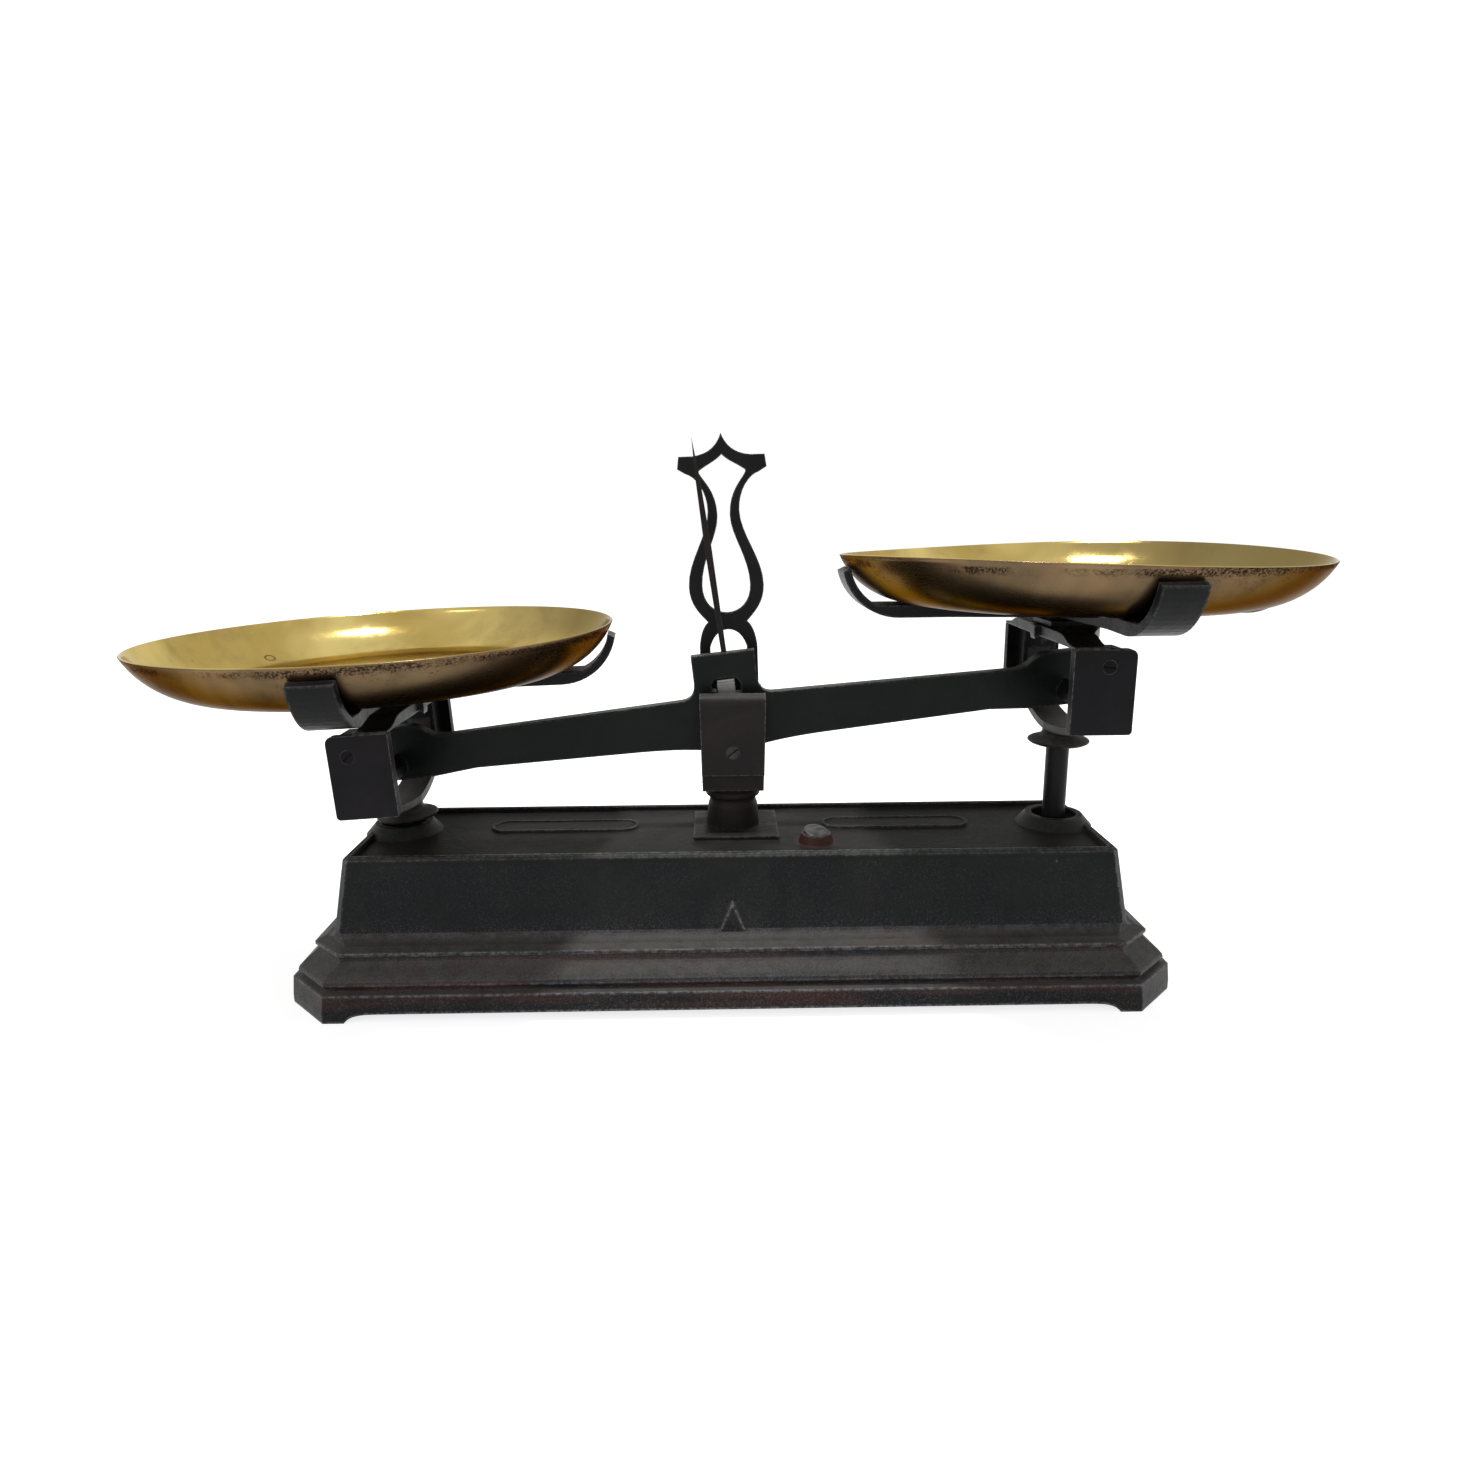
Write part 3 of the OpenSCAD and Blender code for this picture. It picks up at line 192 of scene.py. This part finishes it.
def iron(name, paint, worn_paint, dust=0.5, dusty=(0.075, 0.073, 0.064), rust=0.3,
         rusty=(0.075, 0.026, 0.014), wear=0.6, bare=(0.2, 0.2, 0.215), rough=0.42, grain=1.0, lumps=1.0,
         edge=0.9 * MM, extra=None, specular=0.1):
    """Black painted iron: clouded paint, dust on top, rust in the corners, bare metal along edges, which on
    the base is partly a painted highlight.
    """
    net = Net(name)
    clouds = net.noise(26, 5, 0.62, 0.4)
    blots = net.noise(85, 6, 0.66)
    fine = net.noise(420, 6, 0.7)
    grit = net.noise(1500, 3, 0.6)
    up = net.facing_up().between(0.35, 0.95)
    edges = net.edges(edge * 1.3)
    corners = net.corners(7 * MM)
    colour = net.mix(clouds.between(0.36, 0.66), paint, worn_paint)
    rust_mask = (corners * blots.between(0.38, 0.62) + clouds.between(0.6, 0.8) * 0.5) * rust
    colour = net.mix(rust_mask * (0.5 + fine), colour, rusty)
    dust_mask = (up * (0.35 + 0.65 * blots.between(0.3, 0.7)) + corners * 0.25 * fine) * dust
    if extra:
        colour, dust_mask, wear, specular = extra(net, colour, dust_mask, wear, specular)
    colour = net.mix(dust_mask * (0.6 + 0.8 * fine), colour, dusty)
    rubbed = fine.between(0.42, 0.6)
    specks = grit.between(0.66, 0.74) * rubbed
    wear_mask = (edges * (0.15 + 0.85 * rubbed) * (0.5 + grit) + specks * 0.25) * wear
    colour = net.mix(wear_mask, colour, bare)
    roughness = rough + 0.22 * (fine - 0.5) + 0.3 * dust_mask - 0.12 * wear_mask
    heights = [(clouds, 0.6 * MM * lumps), (blots, 0.35 * MM * lumps), (fine, 0.12 * MM * grain),
               (grit, 0.035 * MM * grain)]
    return net.finish(colour, roughness, heights, edge, Specular_IOR_Level=specular)


def steel(name, metal, grime, shine=0.35, grimy=0.5, edge=0.3 * MM):
    """Bare worn steel with grime in its corners and fine scratches."""
    net = Net(name)
    patches = net.noise(180, 5, 0.65)
    fine = net.noise(900, 4, 0.6)
    lines = net.streaks(60, (1, 1, 28), (0.3, 0.2, 0.1))
    corners = net.corners(2.5 * MM)
    mask = (patches.between(0.35, 0.65) * 0.7 + corners) * grimy
    colour = net.mix(mask, metal, grime)
    roughness = shine + 0.25 * mask + 0.15 * (lines - 0.5)
    heights = [(lines, 0.05 * MM), (patches, 0.08 * MM), (fine, 0.03 * MM)]
    return net.finish(colour, roughness, heights, edge, Metallic=0.85)


def brass(name, bright, deep, olive, sheen, haze=0.5, band=0.0, rough=0.13, aged=0.0, ring_mark=None):
    """Spun sheet brass, z along the pan's axis: turned rings, tarnish clouds that are partly painted dark
    reflections, an olive painted reflection towards +x and the rim, scratches.
    """
    net = Net(name)
    x, y, z = net.place()
    radius = net.math("SQRT", x * x + y * y)
    rings = Value(net, net.node("TexNoise", {"W": radius, "Scale": 1300, "Detail": 3},
                                noise_dimensions="1D").outputs[0])
    smears = net.noise(11, 3, 0.5, 0.8)
    clouds = net.noise(34, 7, 0.68, 0.25)
    mottle = net.noise(310, 6, 0.75)
    waves = net.noise(24, 2, 0.4)
    pits = net.noise(150, 4, 0.65)
    scratches = (net.streaks(22, (1, 60, 1), (0, 0, 0.5)).between(0.68, 0.8)
                 + net.streaks(26, (1, 48, 1), (0, 0, 2.0), 3.1).between(0.7, 0.8)
                 + net.streaks(18, (1, 52, 1), (0, 0, 1.2), 7.7).between(0.7, 0.8))
    spots = net.dots(95, 0.2, 0.12) * mottle.between(0.4, 0.6)
    colour = net.mix(smears.between(0.36, 0.64), bright, deep)
    # Painted reflection: the inside turns olive towards +x and up towards the rim, standing for a dark
    # reflection there.
    colour = net.mix(x.between(-0.01, 0.115) * z.between(0.0, 0.016) * aged, colour, olive)
    # Olive clouds: partly tarnish and partly painted dark reflections in the polished brass.
    tarnish_and_reflection = clouds.between(0.46, 0.74) * haze + spots * 0.5
    if band:
        rim_z = PAN_DEPTH * MM
        crumbs = net.noise(900, 5, 0.75, 0.5)
        under_rim = (z.between(rim_z - 5.2 * MM, rim_z - 2.6 * MM)
                     * z.between(rim_z - 0.3 * MM, rim_z - 1.2 * MM))
        crust = crumbs.between(0.42, 0.54) * net.noise(30, 5, 0.7).between(0.4, 0.55) * under_rim
        runs = net.noise(22, 4, 0.65).between(0.52, 0.6)
        drips = crumbs.between(0.52, 0.62) * runs * z.between(0.006, 0.018)
        glow = net.noise(17, 4, 0.6, 0.5).between(0.5, 0.7)
        colour = net.mix(glow * 0.45, colour, (0.2, 0.112, 0.058))
        colour = net.mix(tarnish_and_reflection, colour, olive)
        tarnish_and_reflection = (crust + drips * 0.7) * band
        colour = net.mix(tarnish_and_reflection, colour, (0.028, 0.016, 0.011))
    else:
        colour = net.mix(tarnish_and_reflection, colour, olive)
    if ring_mark:
        gap = net.node("VectorMath", {0: net.at, 1: ring_mark}, operation="DISTANCE")
        far = Value(net, gap.outputs[1])
        colour = net.mix(far.between(3.4 * MM, 3.0 * MM) * far.between(1.9 * MM, 2.3 * MM) * 0.8, colour,
                         (0.09, 0.05, 0.03))
    roughness = rough + 0.12 * (clouds - 0.4) + 0.05 * (rings - 0.5) + 0.3 * tarnish_and_reflection + 0.08 * scratches
    pitted = 0.03 * MM if band else 0.008 * MM
    heights = [(waves, 0.5 * MM), (rings, 0.006 * MM), (pits, pitted), (mottle, 0.012 * MM),
               (scratches, -0.012 * MM)]
    return net.finish(colour, roughness, heights, 0, Metallic=1.0, Anisotropic=0.15, Specular_Tint=sheen)


def lead(name):
    """Dull dented lead, grey on top, brown with rust on its side."""
    net = Net(name)
    dents = net.noise(240, 4, 0.55, 0.8)
    fine = net.noise(1200, 5, 0.7)
    side = net.facing_up().between(0.75, 0.3)
    colour = net.mix(dents.between(0.35, 0.65), (0.03, 0.0285, 0.029), (0.07, 0.068, 0.07))
    colour = net.mix(side * (0.55 + 0.7 * fine), colour, (0.03, 0.021, 0.019))
    return net.finish(colour, 0.42 + 0.3 * (fine - 0.4), [(dents, 0.5 * MM), (fine, 0.05 * MM)], 0.4 * MM,
                      Metallic=0.35)


def base_marks(net, colour, dust, wear, specular):
    """Marks with a place on the base: seal cup, lug, rust on the plinth, dust and painted light on its
    slopes, the tray's dust and painted shade.
    """
    x, y, z = net.place()
    up = net.facing_up()
    blots = net.noise(60, 6, 0.7)
    fine = net.noise(500, 5, 0.7)
    cup = net.near(SEAL_CUP, 0.0125, 0.003)
    colour = net.mix(cup * blots.between(0.2, 0.5) * 0.9, colour, (0.045, 0.02, 0.015))

    # Rust in the mouldings below the cove; on all that slopes up a violet grey, partly dust and partly
    # painted light from above, bluer in the cove as a painted sheen of sky light
    mould = z.between(COVE_TOP + 0.001, COVE_FOOT - 0.002) * z.between(0.001, BAND_TOP)
    streak = net.streaks(20, (0.5, 3, 7), (0, 0, 0)).between(0.4, 0.62)
    colour = net.mix(mould * streak * 0.75, colour, (0.062, 0.026, 0.019))
    dusty_lit_slopes = z.between(COVE_TOP + 0.013, COVE_TOP) * z.between(0.003, BAND_TOP) * up.between(0.1, 0.6)
    slope_patches = net.noise(150, 6, 0.75)
    cove = z.between(COVE_FOOT, COVE_TOP)
    # Painted light in part: the sloping faces turn violet grey as if lit from above and dusty, and the cove
    # gets a bluer painted sheen.
    colour = net.mix(dusty_lit_slopes * (0.3 + 0.6 * slope_patches.between(0.35, 0.62)), colour, (0.066, 0.06, 0.064))
    colour = net.mix(dusty_lit_slopes * cove * slope_patches.between(0.4, 0.6) * 0.5, colour, (0.072, 0.08, 0.098))

    # Dust round the lug, chips along the wall's foot, a few spots on the wall
    halo = net.near(LUG, 0.018, 0.008) * (0.06 + net.corners(5 * MM).between(0.1, 0.5))
    chips = net.dots(36, 0.22, 0.045) * z.between(0.036, 0.042) * (1 - up.between(0.3, 0.6))
    below_tray = TRAY_FLOOR - 0.0018
    spots = net.dots(48, 0.09, 0.03) * z.between(below_tray, 0.065)
    pale = halo * fine.between(0.3, 0.55) + chips + spots * 0.45
    colour = net.mix(pale, colour, (0.12, 0.115, 0.105))

    # Cast grain, stronger on the plinth
    grain = net.noise(1150, 4, 0.8)
    low_down = z.between(0.046, 0.034)
    patches = net.noise(38, 4, 0.6).between(0.25, 0.55)
    specks = grain.between(0.5, 0.62) * patches * z.between(TRAY_FLOOR - 0.0003, below_tray)
    colour = net.mix(specks * (0.14 + 0.3 * low_down), colour, (0.1, 0.104, 0.118))
    colour = net.mix(grain.between(0.5, 0.38) * low_down * 0.6, colour, (0.012, 0.011, 0.011))

    # The tray: a dull floor kept dark with little dust, partly as painted shade, dusty inner walls, and
    # little wear in a strip along its middle
    along = net.math("ABSOLUTE", x)
    across = net.math("ABSOLUTE", y)
    inside = (along.between(TRAY_HALF_LENGTH + 0.002, TRAY_HALF_LENGTH)
              * across.between(STRIP_HALF_DEPTH + 0.002, STRIP_HALF_DEPTH) * z.between(below_tray, 0.0697))
    tray = up.between(0.9, 0.98) * z.between(below_tray, 0.0703)
    haze = net.noise(14, 4, 0.6)
    colour = net.mix(tray * haze.between(0.4, 0.65) * 0.4, colour, (0.045, 0.038, 0.035))
    outer = along.between(TRAY_HALF_LENGTH - 0.0035, TRAY_HALF_LENGTH - 0.001)
    outer += across.between(STRIP_HALF_DEPTH - 0.0015, STRIP_HALF_DEPTH + 0.0005)
    walls = outer * inside * (1 - up.between(0.3, 0.7)) * z.between(RIM_TOP + 0.0011, RIM_TOP - 0.0009)
    dust = dust * (1 - 0.8 * tray) + tray * 0.12 * haze.between(0.62, 0.38) + walls * 0.3
    return colour, dust, wear * (1 - 0.75 * inside), specular * (1 - 0.85 * tray)


finishes = {
    # The base's strong edge wear is partly worn metal and partly a painted highlight along its rounded
    # rims.
    "cast": iron(
        "cast_iron_base", (0.0062, 0.0068, 0.0074), (0.0105, 0.011, 0.0112), dust=0.7, rust=0.5,
        wear=1.1, rough=0.36, grain=2.2, edge=1.1 * MM, extra=base_marks),
    "column": iron(
        "cast_iron_column", (0.0105, 0.0085, 0.008), (0.017, 0.0125, 0.0115), dust=0.3, rust=0.5,
        wear=0.35, rough=0.5, edge=0.8 * MM),
    "cover": iron(
        "steel_cover", (0.0105, 0.0095, 0.0095), (0.0175, 0.014, 0.013), dust=0.6, rust=0.3, wear=0.6,
        bare=(0.17, 0.17, 0.18), rough=0.42, lumps=0.5, edge=0.6 * MM),
    "beam": iron(
        "forged_beam", (0.0045, 0.0058, 0.0054), (0.0075, 0.0088, 0.0085), dust=0.55, rust=0.12,
        wear=0.45, bare=(0.12, 0.125, 0.13), rough=0.36, lumps=0.5, grain=0.6, edge=0.9 * MM),
    "forged": iron(
        "forged_iron", (0.006, 0.0064, 0.0068), (0.0105, 0.0108, 0.0112), dust=0.38, rust=0.15,
        wear=0.4, dusty=(0.07, 0.063, 0.058), bare=(0.12, 0.125, 0.14), rough=0.38, grain=0.8,
        edge=1.0 * MM),
    "bow": iron(
        "forged_bow", (0.011, 0.011, 0.011), (0.02, 0.0195, 0.0185), dust=0.85, rust=0.2, wear=0.15,
        dusty=(0.12, 0.112, 0.1), rough=0.45, grain=0.8, edge=0.9 * MM),
    "plate": iron(
        "steel_plate", (0.0062, 0.0056, 0.0068), (0.0098, 0.0088, 0.0105), dust=0.4, rust=0.2, wear=0.7,
        bare=(0.24, 0.23, 0.22), rough=0.52, lumps=0.4, grain=0.7, edge=0.4 * MM),
    "screw": iron(
        "painted_screw", (0.006, 0.0055, 0.0062), (0.0095, 0.0088, 0.0095), dust=0.1, rust=0.5,
        wear=0.05, rough=0.6, lumps=0.3, grain=0.7, edge=0.3 * MM, specular=0.08),
    "frame": iron(
        "index_iron", (0.0058, 0.006, 0.0062), (0.0095, 0.0095, 0.0095), dust=0.5, rust=0.2, wear=0.5,
        rough=0.4, lumps=0.5, grain=0.7, edge=0.6 * MM),
    "pointer": iron(
        "pointer_steel", (0.011, 0.009, 0.0085), (0.018, 0.015, 0.014), dust=0.2, rust=0.5, wear=0.2,
        rough=0.45, lumps=0.3, grain=0.5, edge=0.3 * MM),
    "steel": steel("bare_steel", (0.034, 0.032, 0.033), (0.012, 0.0105, 0.01), shine=0.3, grimy=0.9),
    "dark_steel": steel(
        "dark_steel", (0.035, 0.034, 0.034), (0.012, 0.011, 0.01), shine=0.4, grimy=0.8),
    "knife": steel("knife_steel", (0.24, 0.235, 0.225), (0.09, 0.082, 0.072), shine=0.45, grimy=0.5),
    "brass_in": brass(
        "brass_inside", (0.66, 0.52, 0.19), (0.42, 0.3, 0.085), (0.16, 0.118, 0.05),
        (0.8, 0.74, 0.6, 1), haze=0.36, rough=0.1, aged=0.85, ring_mark=RING_MARK),
    # The outside brass is much darker than the inside: partly tarnish, partly painted shade standing for
    # the dark ground it reflects.
    "brass_out": brass(
        "brass_outside", (0.19, 0.125, 0.066), (0.11, 0.076, 0.042), (0.062, 0.05, 0.032),
        (0.36, 0.3, 0.25, 1), haze=0.7, band=1.0, rough=0.27),
    "lead": lead("dented_lead"),
}


# The pieces of each finish, without their side; all others are bare steel
pieces_of = {
    "cast": ("base_casting",),
    "column": ("column",),
    "cover": ("front_cover",),
    "beam": ("beam",),
    "forged": ("bridge", "cross"),
    "bow": ("stirrup",),
    "plate": ("front_plate", "rear_plate"),
    "screw": ("plate_screws",),
    "frame": ("index_frame", "stem", "stay_lever", "stay_bracket"),
    "pointer": ("pointer",),
    "dark_steel": ("end_knife", "bearings", "cross_screws"),
    "knife": ("centre_knife",),
    "brass_out": ("pan",),
    "lead": ("seal_plug",),
}


def finish_of(name):
    part = name.replace("left_", "").replace("right_", "")
    for finish, parts in pieces_of.items():
        if part in parts:
            return finishes[finish]
    return finishes["steel"]


for name, piece in nodes.items():
    for slot in piece.material_slots:
        slot.material = finish_of(name)


# Pans


BEND_HALF = math.sqrt(BEND_R**2 - (BEND_R - PAN_DEPTH) ** 2)
BEND_X = PAN_R - BEND_HALF
BEND = math.asin(BEND_HALF / BEND_R)
FLAT_R = 80


def pan_profile():
    """Radius, height and whether inside, from the underside's middle over the rim to the floor's."""
    def arc(r, t):
        return BEND_X + r * math.sin(t), BEND_R - r * math.cos(t)

    flats = (0.0, 12, 26, 42, 58, 70, 77)
    steps = 22
    out = [(r, 0.0, False) for r in flats]
    out += [(*arc(BEND_R, BEND * i / steps), False) for i in range(steps + 1)]
    rim = arc(BEND_R - SHEET / 2, BEND)
    flatness = 0.3
    for i in range(1, 6):
        t = math.pi * i / 6
        along, across = SHEET / 2 * math.sin(t), SHEET / 2 * math.cos(t)
        out.append((rim[0] + across * math.sin(BEND) + along * math.cos(BEND) * flatness,
                    rim[1] - across * math.cos(BEND) + along * math.sin(BEND) * flatness, i > 1))
    out += [(*arc(BEND_R - SHEET, BEND * i / steps), True) for i in range(steps, -1, -1)]
    return out + [(r, SHEET, True) for r in reversed(flats)]


def make_pan(side, knife, lean, pan_lean, saddle):
    """A spun pan as one smooth sheet, its rim a saddle out of true by so many mm, standing on its cross."""
    profile = pan_profile()
    turns = 180
    bm = bmesh.new()
    rings = []
    for r, z, inside in profile:
        if r == 0:
            rings.append([bm.verts.new((0, 0, z * MM))])
            continue
        ring = []
        for i in range(turns):
            a = 2 * math.pi * i / turns
            rise = saddle * math.sin(2 * a) * max(0.0, (r - FLAT_R) / (PAN_R - FLAT_R)) ** 1.6
            ring.append(bm.verts.new((r * math.cos(a) * MM, r * math.sin(a) * MM, (z + rise) * MM)))
        rings.append(ring)
    for k in range(len(rings) - 1):
        a, b = rings[k], rings[k + 1]
        for i in range(turns):
            j = (i + 1) % turns
            corners = [a[i % len(a)], a[j % len(a)], b[j % len(b)], b[i % len(b)]]
            face = bm.faces.new(list(dict.fromkeys(corners)))
            face.smooth = True
            face.material_index = 1 if profile[k][2] and profile[k + 1][2] else 0
    bmesh.ops.recalc_face_normals(bm, faces=bm.faces)
    mesh = bpy.data.meshes.new(side + "_brass_pan")
    bm.to_mesh(mesh)
    bm.free()
    mesh.materials.append(finishes["brass_out"])
    mesh.materials.append(finishes["brass_in"])
    pan = bpy.data.objects.new(side + "_brass_pan", mesh)
    bpy.context.scene.collection.objects.link(pan)
    bridge_top, pan_rise = 27.9 * MM, 40.3 * MM
    foot = Vector((knife[0] - math.sin(lean) * bridge_top, 0, knife[2] + math.cos(lean) * bridge_top))
    axis = Vector((-math.sin(pan_lean), 0, math.cos(pan_lean)))
    turn = Matrix.Rotation(-pan_lean, 4, "Y")
    pan.matrix_world = Matrix.Translation(foot + axis * (pan_rise - bridge_top)) @ turn
    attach(pan, side + "_pan")
    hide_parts(side + "_pan")


make_pan("left", joints["left_carrier_swing"]["pos_m"], math.radians(3.4), math.radians(1.8), 0.35)
make_pan("right", joints["right_carrier_swing"]["pos_m"], 0.0, 0.0, 2.0)


# Lead seal


def make_seal():
    """The seal in its cup: a lead plug hammered down, its top sloped and dented."""
    low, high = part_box("seal_plug")
    middle = (low + high) / 2
    r = (high.x - low.x) / 2
    bm = bmesh.new()
    turns, rings = 48, []
    levels = [(0.98, low.z, 0)] + [(1.0, low.z + (high.z - low.z) * t, t) for t in (0.3, 0.55, 0.7)]
    levels += [(s, high.z, 1) for s in (0.985, 0.93, 0.8, 0.6, 0.4, 0.2)]
    slope, cross_slope = math.tan(math.radians(13)), 0.12
    sink, dent, round_edge = 0.4 * MM, 0.35 * MM, 0.6 * MM
    for size, z, t in levels:
        ring = []
        for i in range(turns):
            a = 2 * math.pi * i / turns
            x, y = r * size * math.cos(a), r * size * math.sin(a)
            top = high.z - sink + slope * (y - r) - cross_slope * (x + r)
            if t < 1:
                height = min(z, low.z + (top - low.z) * t)
            else:
                height = top + dent * noise.noise(Vector((x * 420, y * 420, 3.7)))
                height -= round_edge * max(0.0, size - 0.9) / 0.085
            ring.append(bm.verts.new((middle.x + x, middle.y + y, height)))
        rings.append(ring)
    for a, b in zip(rings, rings[1:]):
        for i in range(turns):
            j = (i + 1) % turns
            bm.faces.new((a[i], a[j], b[j], b[i])).smooth = True
    bm.faces.new(list(reversed(rings[0])))
    bm.faces.new(rings[-1]).smooth = True
    mesh = bpy.data.meshes.new("lead_seal")
    bm.to_mesh(mesh)
    bm.free()
    mesh.materials.append(finishes["lead"])
    seal = bpy.data.objects.new("lead_seal", mesh)
    bpy.context.scene.collection.objects.link(seal)
    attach(seal, "base")
    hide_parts("seal_plug")


make_seal()


# Floor, light and camera


def backdrop_mix(tree, plain, white):
    """The plain shader for light on the object, the white one where the camera, metal or glass looks."""
    path = tree.nodes.new("ShaderNodeLightPath")
    looks = path.outputs["Is Camera Ray"]
    for name in ("Is Glossy Ray", "Is Transmission Ray"):
        join = tree.nodes.new("ShaderNodeMath")
        join.operation = "MAXIMUM"
        tree.links.new(looks, join.inputs[0])
        tree.links.new(path.outputs[name], join.inputs[1])
        looks = join.outputs[0]
    mix = tree.nodes.new("ShaderNodeMixShader")
    tree.links.new(looks, mix.inputs[0])
    tree.links.new(plain, mix.inputs[1])
    tree.links.new(white, mix.inputs[2])
    return mix.outputs[0]


def make_floor():
    bm = bmesh.new()
    bmesh.ops.create_grid(bm, x_segments=1, y_segments=1, size=8)
    mesh = bpy.data.meshes.new("floor")
    bm.to_mesh(mesh)
    bm.free()
    material = bpy.data.materials.new("pale_floor")
    material.use_nodes = True
    tree = material.node_tree
    tree.nodes.clear()
    pale = tree.nodes.new("ShaderNodeBsdfDiffuse")
    pale.inputs[0].default_value = (0.75, 0.75, 0.75, 1)
    shade = tree.nodes.new("ShaderNodeBsdfDiffuse")
    shade.inputs[0].default_value = (0.55, 0.55, 0.55, 1)
    glow = tree.nodes.new("ShaderNodeEmission")
    glow.inputs[1].default_value = 0.78
    both = tree.nodes.new("ShaderNodeAddShader")
    tree.links.new(shade.outputs[0], both.inputs[0])
    tree.links.new(glow.outputs[0], both.inputs[1])
    out = tree.nodes.new("ShaderNodeOutputMaterial")
    tree.links.new(backdrop_mix(tree, pale.outputs[0], both.outputs[0]), out.inputs[0])
    mesh.materials.append(material)
    floor = bpy.data.objects.new("floor", mesh)
    bpy.context.scene.collection.objects.link(floor)


make_floor()

world = bpy.data.worlds.new("studio")
world.use_nodes = True
bpy.context.scene.world = world
sky = world.node_tree
soft = sky.nodes["Background"]
soft.inputs[0].default_value = (1, 1, 1, 1)
soft.inputs[1].default_value = 0.45
white = sky.nodes.new("ShaderNodeBackground")
white.inputs[0].default_value = (1, 1, 1, 1)
sky.links.new(backdrop_mix(sky, soft.outputs[0], white.outputs[0]), sky.nodes["World Output"].inputs[0])


def lamp(name, place, towards, size, power, colour=(1, 1, 1)):
    light = bpy.data.lights.new(name, "AREA")
    light.shape, light.size, light.energy, light.color = "DISK", size, power, colour
    made = bpy.data.objects.new(name, light)
    bpy.context.scene.collection.objects.link(made)
    made.location = place
    made.rotation_euler = (Vector(towards) - Vector(place)).to_track_quat("-Z", "Y").to_euler()
    return made


lamp("shade", (0.55, 0.6, 1.3), (0, 0, 0.1), 0.3, 16, (1, 0.985, 0.96)).visible_glossy = False
lamp("top", (-0.07, -0.06, 1.45), (0, 0, 0.1), 0.11, 14, (1, 0.99, 0.97))
lamp("fill", (-1.1, -1.3, 1.2), (0, 0, 0.1), 1.0, 7, (0.95, 0.975, 1))

camera = bpy.data.cameras.new("camera")
camera.sensor_width = 36
camera.lens = 977.76 / 1457 * 36
camera.clip_start = 0.01
view = bpy.data.objects.new("camera", camera)
bpy.context.scene.collection.objects.link(view)
yaw, pitch, roll = 0.0132949, 0.2240156, 0.0085541
ahead = Vector((math.sin(yaw) * math.cos(pitch), math.cos(yaw) * math.cos(pitch), -math.sin(pitch)))
level = Vector((math.cos(yaw), -math.sin(yaw), 0))
down = ahead.cross(level)
across = math.cos(roll) * level + math.sin(roll) * down
down = math.cos(roll) * down - math.sin(roll) * level
view.matrix_world = Matrix.Translation(Vector((-7.362, -508.657, 241.312)) * MM) @ Matrix(
    (across, -down, -ahead)).transposed().to_4x4()
bpy.context.scene.camera = view
bpy.context.scene.view_settings.view_transform = "Standard"
